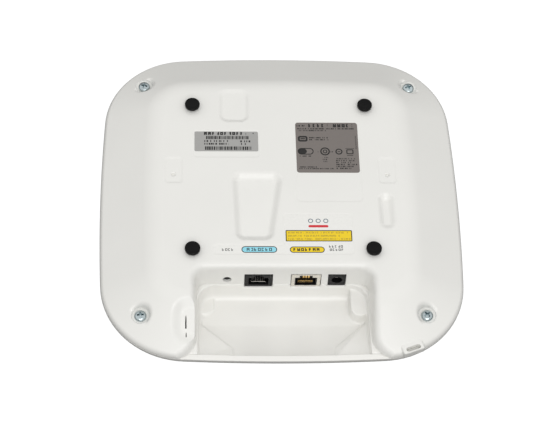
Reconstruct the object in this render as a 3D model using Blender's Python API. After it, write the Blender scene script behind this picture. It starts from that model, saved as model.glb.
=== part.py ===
"""Ceiling access point with external antenna jacks, seen from its ceiling side.

The body hangs under a ceiling: +Z points to the ceiling, +Y away from the cable bay, +X to the right.
The origin is the centre of the flat plateau that faces the ceiling. Lengths below are millimetres, and
MM turns them into Blender's metres when a mesh is made.
"""

import math

import bmesh
import bpy
from mathutils import Matrix, Vector

MM = 0.001

# Body outline: a rounded square with slightly bowed sides.
HALF_SIDE = 110.5
CORNER_RADIUS = 51.4
SIDE_RADIUS = 1207.0
SIDE_STEPS = 4
CORNER_STEPS = 9

# Heights, measured from the plateau.
PARTING_Z = -18.0
FACE_Z = -40.0
PIN_TOP_Z = 3.5
JACK_TIP_Z = -43.5
GAP = 0.3

# Rear shell section, as inset from the outline.
SHELL_WALL = 2.2
DOME_POWER = 4.6
EDGE_RADIUS = 4.0
SHOULDER_SLOPE = 0.48
SHOULDER_BLEND = 12.0

# Cable bay.
BAY_HALF_WIDTH = 52.5
BAY_WALL_Y = -57.2
BAY_CORNER = 6.7
TRAY_CORNER = 12.5
BAY_FILLET = 4.5
BAY_WALL = 3.0
BAY_DRAFT = 1.5
LEG_END_X = 66.0
LEG_END_Y = -96.0
LEG_END_RADIUS = 13.5
LEG_END_SWEEP = math.radians(62)
BAY_FLOOR_Z = -31.0
RIM_WIDTH = 2.8

# Fixings.
COVER_SCREW_XY = [(84.5, 84.0), (-84.5, 84.0), (-84.5, -84.0), (84.5, -84.0)]
POCKET_RADIUS = 6.3
POCKET_FLOOR_Z = -12.0
PIN_XY = [(54.0, 60.3), (-54.0, 60.3), (-54.0, -45.7), (54.0, -45.7)]
BOARD_SCREW_XY = [(67.0, 65.0), (-67.0, 65.0), (-67.0, -44.0), (67.0, -44.0)]

# Circuit board.
BOARD_TOP_Z = -6.4
BOARD_THICKNESS = 1.6
BOARD_BOTTOM_Z = BOARD_TOP_Z - BOARD_THICKNESS
BOARD_X = 74.0
BOARD_Y = (-53.2, 72.0)

# Port openings in the bay wall: low x, high x, bottom z. They share their top.
PORT_TOP_Z = -7.9
CONSOLE_PORT = (-23.1, -6.0, -21.2)
ETHERNET_PORT = (4.7, 22.9, -20.9)
POWER_PORT = (26.9, 37.8, -20.0)
PORT_FACE_Y = -57.9
MODE_XZ = (-33.4, -13.2)
MODE_HOLE_RADIUS = 2.6

# Antenna jacks on the face.
ANTENNA_XY = [(-72.0, 72.0), (72.0, 72.0), (-72.0, -72.0)]
ANTENNA_SEAT_Z = -31.5
ANTENNA_SEAT_RADIUS = 9.5

LAMP_HALF_LENGTH = 6.0
LAMP_HALF_WIDTH = 1.6


# ---------------------------------------------------------------- materials

MATERIALS = {
    "white_paint": ((0.86, 0.86, 0.84), 0.25, 0.0),
    "white_plastic": ((0.86, 0.86, 0.84), 0.3, 0.0),
    "black_rubber": ((0.02, 0.02, 0.02), 0.5, 0.0),
    "black_plastic": ((0.03, 0.03, 0.035), 0.4, 0.0),
    "zinc_steel": ((0.75, 0.76, 0.78), 0.25, 1.0),
    "nickel": ((0.8, 0.78, 0.72), 0.25, 1.0),
    "brass": ((0.8, 0.62, 0.28), 0.3, 1.0),
    "gold": ((0.95, 0.7, 0.25), 0.25, 1.0),
    "silver_label": ((0.55, 0.55, 0.54), 0.4, 0.0),
    "grey_label": ((0.36, 0.34, 0.33), 0.4, 0.0),
    "white_label": ((0.86, 0.86, 0.85), 0.4, 0.0),
    "board_green": ((0.02, 0.16, 0.07), 0.45, 0.0),
    "chip_black": ((0.03, 0.03, 0.03), 0.5, 0.0),
    "thermal_pad": ((0.45, 0.55, 0.62), 0.8, 0.0),
    "clear_plastic": ((0.85, 0.9, 0.92), 0.1, 0.0),
    "ferrite": ((0.12, 0.12, 0.13), 0.6, 0.0),
    "cable_jacket": ((0.05, 0.05, 0.05), 0.4, 0.0),
    "white_insulator": ((0.9, 0.9, 0.88), 0.5, 0.0),
}


def material(name):
    """The Principled material of that name, made on first use."""
    found = bpy.data.materials.get(name)
    if found:
        return found
    colour, roughness, metallic = MATERIALS[name]
    made = bpy.data.materials.new(name)
    made.use_nodes = True
    shader = made.node_tree.nodes["Principled BSDF"]
    shader.inputs["Base Color"].default_value = (*colour, 1.0)
    shader.inputs["Roughness"].default_value = roughness
    shader.inputs["Metallic"].default_value = metallic
    return made


# ---------------------------------------------------------------- mesh helpers


def to_object(name, bm, material_name=None):
    """Turns a bmesh in millimetres into an object with that material, its normals facing out."""
    bmesh.ops.recalc_face_normals(bm, faces=bm.faces)
    bmesh.ops.transform(bm, matrix=Matrix.Scale(MM, 4), verts=bm.verts)
    mesh = bpy.data.meshes.new(name)
    bm.to_mesh(mesh)
    bm.free()
    if material_name:
        mesh.materials.append(material(material_name))
    made = bpy.data.objects.new(name, mesh)
    bpy.context.scene.collection.objects.link(made)
    return made


def loft_bmesh(rings):
    """A closed bmesh through rings of equal length, each a list of (x, y, z), with its two ends capped."""
    bm = bmesh.new()
    loops = [[bm.verts.new(p) for p in ring] for ring in rings]
    for low, high in zip(loops, loops[1:]):
        for i in range(len(low)):
            j = (i + 1) % len(low)
            bm.faces.new((low[i], low[j], high[j], high[i]))
    bm.faces.new(loops[0])
    bm.faces.new(loops[-1])
    return bm


def loft(name, rings, material_name=None):
    return to_object(name, loft_bmesh(rings), material_name)


def at_height(outline, z):
    return [(x, y, z) for x, y in outline]


def prism(name, outline, low_z, high_z, material_name=None):
    return loft(name, [at_height(outline, low_z), at_height(outline, high_z)], material_name)


def box(name, low, high, material_name=None):
    outline = [(low[0], low[1]), (high[0], low[1]), (high[0], high[1]), (low[0], high[1])]
    return prism(name, outline, low[2], high[2], material_name)


def circle(radius, steps, centre=(0.0, 0.0)):
    turns = [2 * math.pi * i / steps for i in range(steps)]
    return [(centre[0] + radius * math.cos(t), centre[1] + radius * math.sin(t)) for t in turns]


def turned_bmesh(profile, steps):
    """A solid of revolution about Z through (radius, z) points; a radius of 0 closes it on the axis."""
    bm = bmesh.new()
    loops = []
    for radius, z in profile:
        if radius == 0:
            loops.append([bm.verts.new((0, 0, z))])
        else:
            loops.append([bm.verts.new((x, y, z)) for x, y in circle(radius, steps)])
    for low, high in zip(loops, loops[1:]):
        for i in range(steps):
            j = (i + 1) % steps
            corners = [low[i % len(low)], low[j % len(low)], high[j % len(high)], high[i % len(high)]]
            bm.faces.new(list(dict.fromkeys(corners)))
    return bm


def turned(name, profile, steps, centre, material_name=None, axis="Z"):
    """A turned piece at centre. Its own axis is Z, or Y with the profile's heights running towards +Y."""
    bm = turned_bmesh(profile, steps)
    if axis == "Y":
        bmesh.ops.rotate(bm, cent=(0, 0, 0), matrix=Matrix.Rotation(-math.pi / 2, 3, "X"), verts=bm.verts)
    bmesh.ops.translate(bm, vec=centre, verts=bm.verts)
    return to_object(name, bm, material_name)


def closed_profile(profile):
    """A turned ring's section, given as a loop of points off the axis, closed on itself."""
    return profile + [profile[0]]


def turned_ring(name, profile, steps, centre, material_name=None):
    """A turned piece with a hole through it: its section is a closed loop of (radius, z) points."""
    bm = turned_bmesh(closed_profile(profile), steps)
    bmesh.ops.remove_doubles(bm, verts=bm.verts, dist=1e-6)
    bmesh.ops.translate(bm, vec=centre, verts=bm.verts)
    return to_object(name, bm, material_name)


def modify(target, helper, operation):
    """Adds a Boolean of that operation, and makes the other object a helper."""
    made = target.modifiers.new(helper.name, "BOOLEAN")
    made.operation = operation
    made.object = helper
    made.solver = "EXACT"
    helper.hide_render = True
    helper.display_type = "WIRE"


def cut(target, *helpers):
    for helper in helpers:
        modify(target, helper, "DIFFERENCE")


def join(target, *helpers):
    for helper in helpers:
        modify(target, helper, "UNION")


def rounded_polygon(corners, radius, offset=0.0, steps=4):
    """Points round a convex or L-shaped polygon, anticlockwise, with its corners rounded and its sides
    moved outwards by offset. A corner that turns inwards is rounded too."""
    points = []
    count = len(corners)
    for i in range(count):
        before, here, after = (Vector(corners[(i + k) % count]) for k in (-1, 0, 1))
        along_in, along_out = (here - before).normalized(), (after - here).normalized()
        out_in = Vector((along_in.y, -along_in.x))
        out_out = Vector((along_out.y, -along_out.x))
        turn = math.atan2(along_in.cross(along_out), along_in.dot(along_out))
        corner = here + (out_in + out_out) * (offset / (1 + out_in.dot(out_out)))
        own = max(radius + offset, 0.05) if turn > 0 else max(radius - offset, 0.05)
        reach = own * math.tan(abs(turn) / 2)
        side = 1 if turn > 0 else -1
        centre = corner - along_in * reach - out_in * own * side
        start = math.atan2(out_in.y * side, out_in.x * side)
        for k in range(steps + 1):
            a = start + turn * k / steps
            points.append((centre.x + own * math.cos(a), centre.y + own * math.sin(a)))
    return points


def rectangle(low_x, high_x, low_y, high_y):
    return [(low_x, low_y), (high_x, low_y), (high_x, high_y), (low_x, high_y)]


# ---------------------------------------------------------------- body outline and height


def corner_centre():
    """Where a corner arc's centre sits, along both axes, so that it meets the side arcs smoothly."""
    side_centre = HALF_SIDE - SIDE_RADIUS
    gap = SIDE_RADIUS - CORNER_RADIUS
    return (side_centre + math.sqrt(2 * gap * gap - side_centre * side_centre)) / 2


CORNER_CENTRE = corner_centre()
SIDE_HALF_ANGLE = math.atan2(CORNER_CENTRE, CORNER_CENTRE - (HALF_SIDE - SIDE_RADIUS))


def body_outline(inset):
    """The body's outline moved inwards by inset, anticlockwise from the right side."""
    side_centre = HALF_SIDE - SIDE_RADIUS
    side, corner = SIDE_RADIUS - inset, CORNER_RADIUS - inset
    quarter = []
    for k in range(SIDE_STEPS):
        a = -SIDE_HALF_ANGLE + 2 * SIDE_HALF_ANGLE * k / SIDE_STEPS
        quarter.append((side_centre + side * math.cos(a), side * math.sin(a)))
    for k in range(CORNER_STEPS):
        a = SIDE_HALF_ANGLE + (math.pi / 2 - 2 * SIDE_HALF_ANGLE) * k / CORNER_STEPS
        quarter.append((CORNER_CENTRE + corner * math.cos(a), CORNER_CENTRE + corner * math.sin(a)))
    outline = []
    for turn in range(4):
        c, s = round(math.cos(turn * math.pi / 2)), round(math.sin(turn * math.pi / 2))
        outline += [(c * x - s * y, s * x + c * y) for x, y in quarter]
    return outline


def scaled_outline(inset, scale):
    return [(x * scale, y * scale) for x, y in body_outline(inset)]


def inset_at(x, y):
    """How far inside the body's outline a point is; negative outside."""
    u, v = abs(x), abs(y)
    if v > u:
        u, v = v, u
    side_centre = HALF_SIDE - SIDE_RADIUS
    if math.atan2(v, u - side_centre) <= SIDE_HALF_ANGLE:
        return SIDE_RADIUS - math.hypot(u - side_centre, v)
    return CORNER_RADIUS - math.hypot(u - CORNER_CENTRE, v - CORNER_CENTRE)


EDGE_SWEEP = math.atan(1 / SHOULDER_SLOPE)
EDGE_INSET = EDGE_RADIUS * (1 - math.cos(EDGE_SWEEP))
EDGE_TOP_Z = PARTING_Z + EDGE_RADIUS * math.sin(EDGE_SWEEP)
BLEND_Z = -SHOULDER_SLOPE * SHOULDER_BLEND / 2
BLEND_INSET = EDGE_INSET + (BLEND_Z - EDGE_TOP_Z) / SHOULDER_SLOPE
PLATEAU_INSET = BLEND_INSET + SHOULDER_BLEND


def shoulder_height(inset):
    """Height of the shell's outside at that inset: round edge, straight slope, soft blend, plateau."""
    if inset >= PLATEAU_INSET:
        return 0.0
    if inset >= BLEND_INSET:
        return -SHOULDER_SLOPE * (PLATEAU_INSET - inset) ** 2 / (2 * SHOULDER_BLEND)
    if inset >= EDGE_INSET:
        return EDGE_TOP_Z + SHOULDER_SLOPE * (inset - EDGE_INSET)
    if inset <= 0:
        return PARTING_Z
    return PARTING_Z + math.sqrt(EDGE_RADIUS**2 - (EDGE_RADIUS - inset) ** 2)


def surface_height(x, y):
    return shoulder_height(inset_at(x, y))


def dome_depth(scale):
    """Height of the face's outside on the outline scaled by that share: a pillow, flat in the middle."""
    return PARTING_Z - 0.6 - (PARTING_Z - 0.6 - FACE_Z) * math.sqrt(max(0.0, 1 - scale**DOME_POWER))


# ---------------------------------------------------------------- cable bay outline


def bay_path(offset, corner_steps=5, end_steps=6):
    """The bay's wall line in plan, moved into the body by offset: the right leg's end, up its wall, across
    above the ports, and down the left leg, closed by two points outside the body."""
    def arc(cx, cy, radius, start, sweep, steps):
        return [
            (
                cx + radius * math.cos(start + sweep * k / steps),
                cy + radius * math.sin(start + sweep * k / steps)
            )
            for k in range(steps + 1)
        ]

    run_out = 25.0
    end_radius = LEG_END_RADIUS - offset
    exit_angle = math.pi + LEG_END_SWEEP
    ends = arc(LEG_END_X, LEG_END_Y, end_radius, exit_angle, -LEG_END_SWEEP, end_steps)
    tangent = (-math.sin(exit_angle), math.cos(exit_angle))
    first = (ends[0][0] + tangent[0] * run_out, ends[0][1] + tangent[1] * run_out)
    corner_x, corner_y = BAY_HALF_WIDTH - BAY_CORNER, BAY_WALL_Y - BAY_CORNER
    wall = [(BAY_HALF_WIDTH + offset, LEG_END_Y + (corner_y - LEG_END_Y) * k / 5) for k in range(1, 5)]
    corner = arc(corner_x, corner_y, BAY_CORNER + offset, 0.0, math.pi / 2, corner_steps)
    right = [first] + ends + wall + corner
    left = [(-x, y) for x, y in reversed(right)]
    return right + left + [(-95.0, -135.0), (95.0, -135.0)]


def tray_path(offset, corner_steps=5, mouth_y=-125.0):
    """The bay's wall line below the parting plane, with straight sides down to mouth_y."""
    corner_x, corner_y = BAY_HALF_WIDTH - TRAY_CORNER, BAY_WALL_Y - TRAY_CORNER
    radius = TRAY_CORNER + offset
    right = [(corner_x + radius, mouth_y)]
    for k in range(corner_steps + 1):
        a = math.pi / 2 * k / corner_steps
        right.append((corner_x + radius * math.cos(a), corner_y + radius * math.sin(a)))
    return right + [(-x, y) for x, y in reversed(right)]


# ---------------------------------------------------------------- rear shell


TRAPEZOID = [(-26.6, -36.4), (-7.2, -36.4), (-0.4, 8.8), (-28.2, 8.8)]
TRAPEZOID_DEPTH = 2.6
TOP_PAD = rectangle(-36.2, -19.6, 49.8, 73.2)
TOP_PAD_DEPTH = 1.6
SCOOP = rectangle(58.6, 68.4, -30.3, -4.6)
RATING_RECESS = rectangle(9.3, 49.5, -10.6, 48.9)
SERIAL_RECESS = rectangle(-53.3, -12.8, 22.0, 42.0)
PORT_RECESS = [(-42.2, -48.2), (42.4, -48.2), (42.4, -19.5), (0.3, -19.5), (0.3, -41.3), (-42.2, -41.3)]
LABEL_RECESS_DEPTH = 0.5
LOCK_DISH = rectangle(-59.4, -46.0, -95.5, -83.0)
LOCK_DISH_DEPTH = 3.0


def emboss_rings(corners, radius, slope_width, depth, steps=4):
    """Rings of a cutter that presses a pad of that depth into the plateau, with soft top and bottom edges."""
    half = slope_width / 2
    levels = [
        (half + 0.7, 2.0), (half + 0.7, 0.02), (half - 0.3, -0.14 * depth),
        (-half + 0.3, -0.86 * depth), (-half - 0.7, -depth),
    ]
    return [at_height(rounded_polygon(corners, radius, offset, steps), z) for offset, z in levels]


def bay_cutter():
    """Everything above the bay, with a rounded upper edge that follows the shell's own height."""
    levels = [(BAY_FILLET + 0.15, None, 0.0), (BAY_FILLET + 0.15, -0.03, 0.0)]
    for k, degrees in enumerate((22, 42, 60, 76, 90)):
        a = math.radians(degrees)
        levels.append((BAY_FILLET * (1 - math.sin(a)), BAY_FILLET * (1 - math.cos(a)), 0.06 * (k + 1)))
    rings = []
    for offset, depth, below in levels:
        ring = []
        for x, y in bay_path(offset):
            if depth is None:
                ring.append((x, y, 6.0))
            else:
                ring.append((x, y, max(surface_height(x, y) - depth, PARTING_Z - 0.3 - below)))
        rings.append(ring)
    rings.append(at_height(bay_path(-BAY_DRAFT), PARTING_Z - 2.0))
    return loft("bay_cutter", rings)


def scoop_cutter():
    """The clearance scoop for a bracket's latch: deep at its top end and running out at its lower end."""
    rings = []
    low_y, high_y = SCOOP[0][1], SCOOP[2][1]
    for shrink, share in ((-0.6, -0.6), (-0.6, 0.0), (1.2, 0.55), (2.6, 0.9), (4.2, 1.0)):
        ring = []
        for x, y in rounded_polygon(SCOOP, 4.6, -shrink, 5):
            deep = 1.1 + 2.3 * (y - low_y) / (high_y - low_y)
            ring.append((x, y, 0.02 - share * deep))
        rings.append(ring)
    return loft("scoop_cutter", rings)


def lock_dish():
    """Cutter for the shallow dish around the lock slot, following the shell's own height."""
    levels = [(7.9, -4.0), (7.9, -0.03), (6.6, 0.12), (5.0, 0.8), (3.2, 1.9), (1.6, 2.75), (0.2, LOCK_DISH_DEPTH)]
    rings = []
    for offset, drop in levels:
        outline = rounded_polygon(LOCK_DISH, 3.0, offset, 5)
        rings.append([(x, y, surface_height(x, y) - drop) for x, y in outline])
    return loft("lock_dish", rings)


def hasp_block(name, low, high):
    """A box with rounded corners in the padlock hasp's own axes: along the rim, into the body, and up."""
    outline = rounded_polygon(rectangle(low[0], high[0], low[1], high[1]), 1.2, 0, 3)
    bm = loft_bmesh([at_height(outline, low[2]), at_height(outline, high[2])])
    bmesh.ops.rotate(bm, cent=(0, 0, 0), matrix=Matrix.Rotation(math.radians(20), 3, "Z"), verts=bm.verts)
    bmesh.ops.translate(bm, vec=(75.4, -104.9, -14.3), verts=bm.verts)
    return to_object(name, bm)


def shell_cavity():
    """The hollow inside the rear shell, less the bay's wall, the pressed pads and the bosses."""
    rings = [
        at_height(body_outline(SHELL_WALL), PARTING_Z - 1.0),
        at_height(body_outline(SHELL_WALL), PARTING_Z + 0.6),
        at_height(body_outline(SHELL_WALL + 1.9), PARTING_Z + 2.3),
        at_height(body_outline(BLEND_INSET), BLEND_Z - SHELL_WALL),
        at_height(body_outline(PLATEAU_INSET), -SHELL_WALL),
    ]
    cavity = loft("shell_cavity", rings)
    cut(cavity, prism("bay_wall_block", bay_path(BAY_WALL), -25, 5))
    cut(cavity, prism("trapezoid_block", rounded_polygon(TRAPEZOID, 4, 1.5), -TRAPEZOID_DEPTH - 2, 1))
    cut(cavity, prism("top_pad_block", rounded_polygon(TOP_PAD, 4, 1.5), -TOP_PAD_DEPTH - 2, 1))
    cut(cavity, prism("scoop_block", rounded_polygon(SCOOP, 4, 0.8), -5.2, 1))
    cut(cavity, box("lock_block", (-69, -106, -25), (-50, -77, 1)))
    cut(cavity, hasp_block("hasp_block", (-8, -4, -8), (8, 14, 8)))
    for i, (x, y) in enumerate(COVER_SCREW_XY):
        cut(cavity, prism(f"pocket_block_{i}", circle(8.4, 24, (x, y)), POCKET_FLOOR_Z - 2.6, 1))
    for i, (x, y) in enumerate(PIN_XY):
        cut(cavity, prism(f"pin_boss_{i}", circle(4.8, 16, (x, y)), -5.6, 1))
    for i, (x, y) in enumerate(BOARD_SCREW_XY):
        cut(cavity, prism(f"standoff_{i}", circle(3.2, 16, (x, y)), BOARD_TOP_Z + 0.1, 1))
    return cavity


def port_cutter(name, port):
    low_x, high_x, bottom = port
    return box(name, (low_x, -64, bottom), (high_x, -48, PORT_TOP_Z))


def rear_shell():
    rings = [
        (
            EDGE_RADIUS * (1 - math.cos(EDGE_SWEEP * k / 4)),
            PARTING_Z + EDGE_RADIUS * math.sin(EDGE_SWEEP * k / 4)
        )
        for k in range(5)
    ]
    rings += [
        (BLEND_INSET + SHOULDER_BLEND * k / 3, shoulder_height(BLEND_INSET + SHOULDER_BLEND * k / 3))
        for k in range(4)
    ]
    shell = loft("rear_shell", [at_height(body_outline(inset), z) for inset, z in rings], "white_paint")
    cut(shell, shell_cavity(), bay_cutter())
    cut(shell, loft("trapezoid_cutter", emboss_rings(TRAPEZOID, 3.6, 3.4, TRAPEZOID_DEPTH)))
    cut(shell, loft("top_pad_cutter", emboss_rings(TOP_PAD, 4.0, 2.2, TOP_PAD_DEPTH)))
    for side in (-1, 1):
        spot = rectangle(side * 65.5 - 5.1, side * 65.5 + 5.1, 3.1, 21.5)
        cut(shell, loft(f"spot_cutter_{side}", emboss_rings(spot, 1.6, 0.6, 0.5, 3)))
        cut(shell, prism(f"spot_hole_{side}", circle(1.1, 10, (side * 65.6, 9.2)), -1.5, 1))
    cut(shell, scoop_cutter())
    cut(shell, prism("rating_recess", rounded_polygon(RATING_RECESS, 2, 0, 3), -LABEL_RECESS_DEPTH, 1))
    cut(shell, prism("serial_recess", rounded_polygon(SERIAL_RECESS, 1.5, 0, 3), -LABEL_RECESS_DEPTH, 1))
    cut(shell, prism("port_recess", rounded_polygon(PORT_RECESS, 1.5, 0, 3), -LABEL_RECESS_DEPTH, 1))
    for i, (x, y) in enumerate(COVER_SCREW_XY):
        cut(shell, prism(f"pocket_cutter_{i}", circle(POCKET_RADIUS, 24, (x, y)), POCKET_FLOOR_Z, 2))
        cut(shell, prism(f"screw_hole_{i}", circle(2.3, 14, (x, y)), -20, -5))
    for i, (x, y) in enumerate(PIN_XY):
        cut(shell, prism(f"pin_hole_{i}", circle(2.15, 14, (x, y)), -5.0, 2))
    for i, (x, y) in enumerate(BOARD_SCREW_XY):
        cut(shell, prism(f"standoff_hole_{i}", circle(1.4, 10, (x, y)), -8.0, -3.0))
    cut(shell, port_cutter("console_opening", CONSOLE_PORT), port_cutter("ethernet_opening", ETHERNET_PORT))
    cut(shell, port_cutter("power_opening", POWER_PORT))
    hole = [(MODE_HOLE_RADIUS, 0.0), (MODE_HOLE_RADIUS, 16.0)]
    cut(
        shell,
        turned("mode_opening", [(0, 0.0), *hole, (0, 16.0)], 16, (MODE_XZ[0], -64, MODE_XZ[1]), axis="Y")
    )
    cut(shell, lock_dish())
    cut(shell, box("lock_slot", (-58.3, -92.9, -20.0), (-57.5, -86.0, 0.0)))
    cut(shell, box("lock_notch", (-58.0, -97.6, -20.0), (-57.4, -94.9, 0.0)))
    join(shell, hasp_block("hasp_tab", (-6.8, -1.9, -3.2), (6.8, 5.0, 1.2)))
    cut(shell, hasp_block("hasp_slot", (-4.5, -1.15, -2.6), (4.5, 1.75, 9.0)))
    return shell


# ---------------------------------------------------------------- bay liner and front cover


def face_space(clearance):
    """The space inside the front cover, smaller than its inner wall by clearance."""
    inset = RIM_WIDTH + clearance
    rings = [at_height(body_outline(inset), PARTING_Z + 8)]
    for scale in (1.0, 0.985, 0.955, 0.91, 0.84, 0.74, 0.6, 0.4):
        rings.append(at_height(scaled_outline(inset, scale), dome_depth(scale) + 2.5 + clearance))
    return loft(f"face_space_{clearance}", rings)


def ramp():
    """The bay's floor rising to the mouth in a shallow hollow curve."""
    low_y, high_y, steps = -75.0, -107.2, 8
    section = []
    for k in range(steps + 1):
        share = k / steps
        section.append((low_y + (high_y - low_y) * share, BAY_FLOOR_Z - 0.4 + 10.7 * share**1.7))
    section += [(high_y, -36.0), (low_y, -36.0)]
    half = BAY_HALF_WIDTH - 0.8
    return loft("bay_ramp", [[(x, y, z) for y, z in section] for x in (-half, half)])


def corner_facet(side):
    """A flat facet across one corner of the bay's mouth, along a 45 degree crease."""
    crease = [(-51.7, -76.5), (-30.4, -98.0)]
    corner = (-51.7, -107.2)
    mouth = (-30.4, -107.2)
    heights = [BAY_FLOOR_Z + 1.2, BAY_FLOOR_Z + 6.4, BAY_FLOOR_Z + 11.6, BAY_FLOOR_Z + 11.0]
    tops = [(side * -x, y, z) for (x, y), z in zip([*crease, mouth, corner], heights)]
    return loft(f"bay_facet_{side}", [[(x, y, -36.0) for x, y, _ in tops], tops])


def tray_boss(centre_x, radius, centre_y):
    """A boss against the tray's back wall: square behind, half round in front."""
    turns = [math.pi + math.pi * k / 12 for k in range(13)]
    front = [(centre_x + radius * math.cos(t), centre_y + radius * math.sin(t)) for t in turns]
    return front + [(centre_x + radius, -57.8), (centre_x - radius, -57.8)]


def bay_liner():
    """The tray under the bay: floor, lower walls, a flange under the legs' ends and a round post."""
    outer = prism("bay_liner", tray_path(1.6, mouth_y=-107.3), BAY_FLOOR_Z - 2, PARTING_Z - GAP)
    outer.data.materials.append(material("white_plastic"))
    join(outer, box("liner_flange", (-67, -107.3, PARTING_Z - 2.3), (67, -94, PARTING_Z - GAP)))
    rings = [
        at_height(tray_path(-BAY_DRAFT - 0.2), PARTING_Z + 3),
        at_height(tray_path(-BAY_DRAFT - 0.2), PARTING_Z - GAP),
        at_height(tray_path(-BAY_DRAFT - 0.8), BAY_FLOOR_Z + 4.0),
        at_height(tray_path(-BAY_DRAFT - 1.8), BAY_FLOOR_Z + 1.6),
        at_height(tray_path(-BAY_DRAFT - 3.0), BAY_FLOOR_Z + 0.5),
        at_height(tray_path(-BAY_DRAFT - 4.6), BAY_FLOOR_Z),
    ]
    cut(outer, loft("tray_cutter", rings))
    join(outer, ramp(), corner_facet(-1), corner_facet(1))
    join(outer, prism("right_boss", tray_boss(46.3, 5.6, -72.2), BAY_FLOOR_Z - 1, -22.0))
    join(outer, prism("left_boss", tray_boss(-46.6, 5.4, -66.5), BAY_FLOOR_Z - 1, BAY_FLOOR_Z + 1.3))
    modify(outer, face_space(GAP), "INTERSECT")
    for name, port in (("console", CONSOLE_PORT), ("ethernet", ETHERNET_PORT), ("power", POWER_PORT)):
        cut(outer, box(f"{name}_notch", (port[0], -60.4, port[2]), (port[1], -50, PARTING_Z + 2)))
    return outer


def front_cover():
    """The plastic face: a pillow dome with a rim, four screw bosses, three antenna seats and a lamp slot."""
    rings = [at_height(body_outline(0), PARTING_Z - GAP)]
    for scale in (1.0, 0.994, 0.98, 0.955, 0.91, 0.84, 0.74, 0.6, 0.4):
        rings.append(at_height(scaled_outline(0, scale), dome_depth(scale)))
    cover = loft("front_cover", rings, "white_plastic")
    hollow = face_space(0.0)
    for i, (x, y) in enumerate(COVER_SCREW_XY):
        cut(hollow, prism(f"cover_boss_{i}", circle(5.2, 20, (x, y)), -45, 0))
    for i, (x, y) in enumerate(ANTENNA_XY):
        cut(
            hollow,
            prism(
                f"antenna_boss_{i}", circle(ANTENNA_SEAT_RADIUS + 1.6, 28, (x, y)), -45,
                ANTENNA_SEAT_Z + 2.6
            )
        )
    cut(cover, hollow)
    for i, (x, y) in enumerate(COVER_SCREW_XY):
        join(cover, prism(f"boss_top_{i}", circle(5.2, 20, (x, y)), -24, POCKET_FLOOR_Z - 2.6 - GAP))
        cut(cover, prism(f"insert_hole_{i}", circle(3.1, 16, (x, y)), -27.5, 0))
    for i, (x, y) in enumerate(ANTENNA_XY):
        join(
            cover,
            prism(
                f"seat_boss_{i}", circle(ANTENNA_SEAT_RADIUS + 1.6, 28, (x, y)), ANTENNA_SEAT_Z,
                ANTENNA_SEAT_Z + 2.6
            )
        )
        cut(cover, prism(f"seat_cutter_{i}", circle(ANTENNA_SEAT_RADIUS, 28, (x, y)), -50, ANTENNA_SEAT_Z))
        cut(cover, prism(f"antenna_hole_{i}", circle(5.9, 20, (x, y)), -50, -20))
    slot = rounded_polygon(
        rectangle(-LAMP_HALF_LENGTH, LAMP_HALF_LENGTH, -LAMP_HALF_WIDTH, LAMP_HALF_WIDTH),
        LAMP_HALF_WIDTH - 0.05, 0.2, 5
    )
    cut(cover, prism("lamp_slot", slot, -50, -30))
    return cover


# ---------------------------------------------------------------- fixings


def phillips_cutter(name, centre, top_z, reach, depth):
    """A cross of two tapered wedges for a driver's tip."""
    x, y = centre
    width = 0.75
    for i, (half_x, half_y) in enumerate(((reach, width), (width, reach))):
        top = rectangle(x - half_x, x + half_x, y - half_y, y + half_y)
        low = rectangle(x - half_x * 0.45, x + half_x * 0.45, y - half_y * 0.45, y + half_y * 0.45)
        yield loft(f"{name}_{i}", [at_height(low, top_z - depth), at_height(top, top_z + 0.2)])


def cover_screw(index, centre):
    """A pan-head screw: head with a cross recess, and a plain shank in place of its thread."""
    base = POCKET_FLOOR_Z + 0.1
    profile = [(0, -26.0), (1.5, -26.0), (1.8, -25.2), (1.8, base), (3.6, base), (3.6, base + 1.1),
               (3.2, base + 1.9), (2.0, base + 2.35), (0, base + 2.4)]
    screw = turned(f"cover_screw_{index}", profile, 20, (*centre, 0), "zinc_steel")
    cut(screw, *phillips_cutter(f"cross_{index}", centre, base + 2.4, 1.9, 1.6))


def thread_insert(index, centre):
    profile = [(1.95, -27.0), (2.9, -27.0), (2.9, -18.6), (1.95, -18.6)]
    turned_ring(f"thread_insert_{index}", profile, 16, (*centre, 0), "brass")


def mount_pin(index, centre):
    """A bracket pin: a steel stud with a flange that the black cap grips and a shank in the shell."""
    profile = [(0, -4.7), (1.9, -4.7), (1.9, 0.2), (2.7, 0.2), (2.7, 1.85), (3.5, 1.85), (3.5, 2.6), (0, 2.6)]
    turned(f"mount_pin_{index}", profile, 16, (*centre, 0), "zinc_steel")
    cap = [(3.0, 1.4), (4.4, 1.4), (4.65, 1.7), (4.65, 2.9), (4.3, 3.35), (3.9, PIN_TOP_Z), (0, PIN_TOP_Z)]
    inner = [(0, 2.8), (3.75, 2.8), (3.75, 1.7), (3.0, 1.7), (3.0, 1.4)]
    bm = turned_bmesh(inner + cap[1:], 20)
    bmesh.ops.translate(bm, vec=(*centre, 0), verts=bm.verts)
    to_object(f"pin_cap_{index}", bm, "black_rubber")


def board_screw(index, centre):
    top = BOARD_BOTTOM_Z - 0.1
    profile = [
        (0, top - 1.5), (1.9, top - 1.5), (2.4, top - 1.0), (2.4, top), (1.1, top), (1.1, -3.4), (0, -3.4)
    ]
    turned(f"board_screw_{index}", profile, 14, (*centre, 0), "zinc_steel")


# ---------------------------------------------------------------- labels


def label(name, corners, radius, material_name):
    prism(name, rounded_polygon(corners, radius, 0, 3), -0.35, -0.12, material_name)


def labels():
    label("rating_label", rectangle(10.0, 48.8, 10.6, 48.5), 1.6, "grey_label")
    label("serial_label", rectangle(-52.7, -13.3, 26.4, 41.4), 0.9, "silver_label")
    sides = [(-41.7, -47.7), (41.9, -47.7), (41.9, -20.0), (0.8, -20.0), (0.8, -41.8), (-41.7, -41.8)]
    label("port_label", sides, 1.2, "white_label")


# ---------------------------------------------------------------- board and its parts


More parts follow.
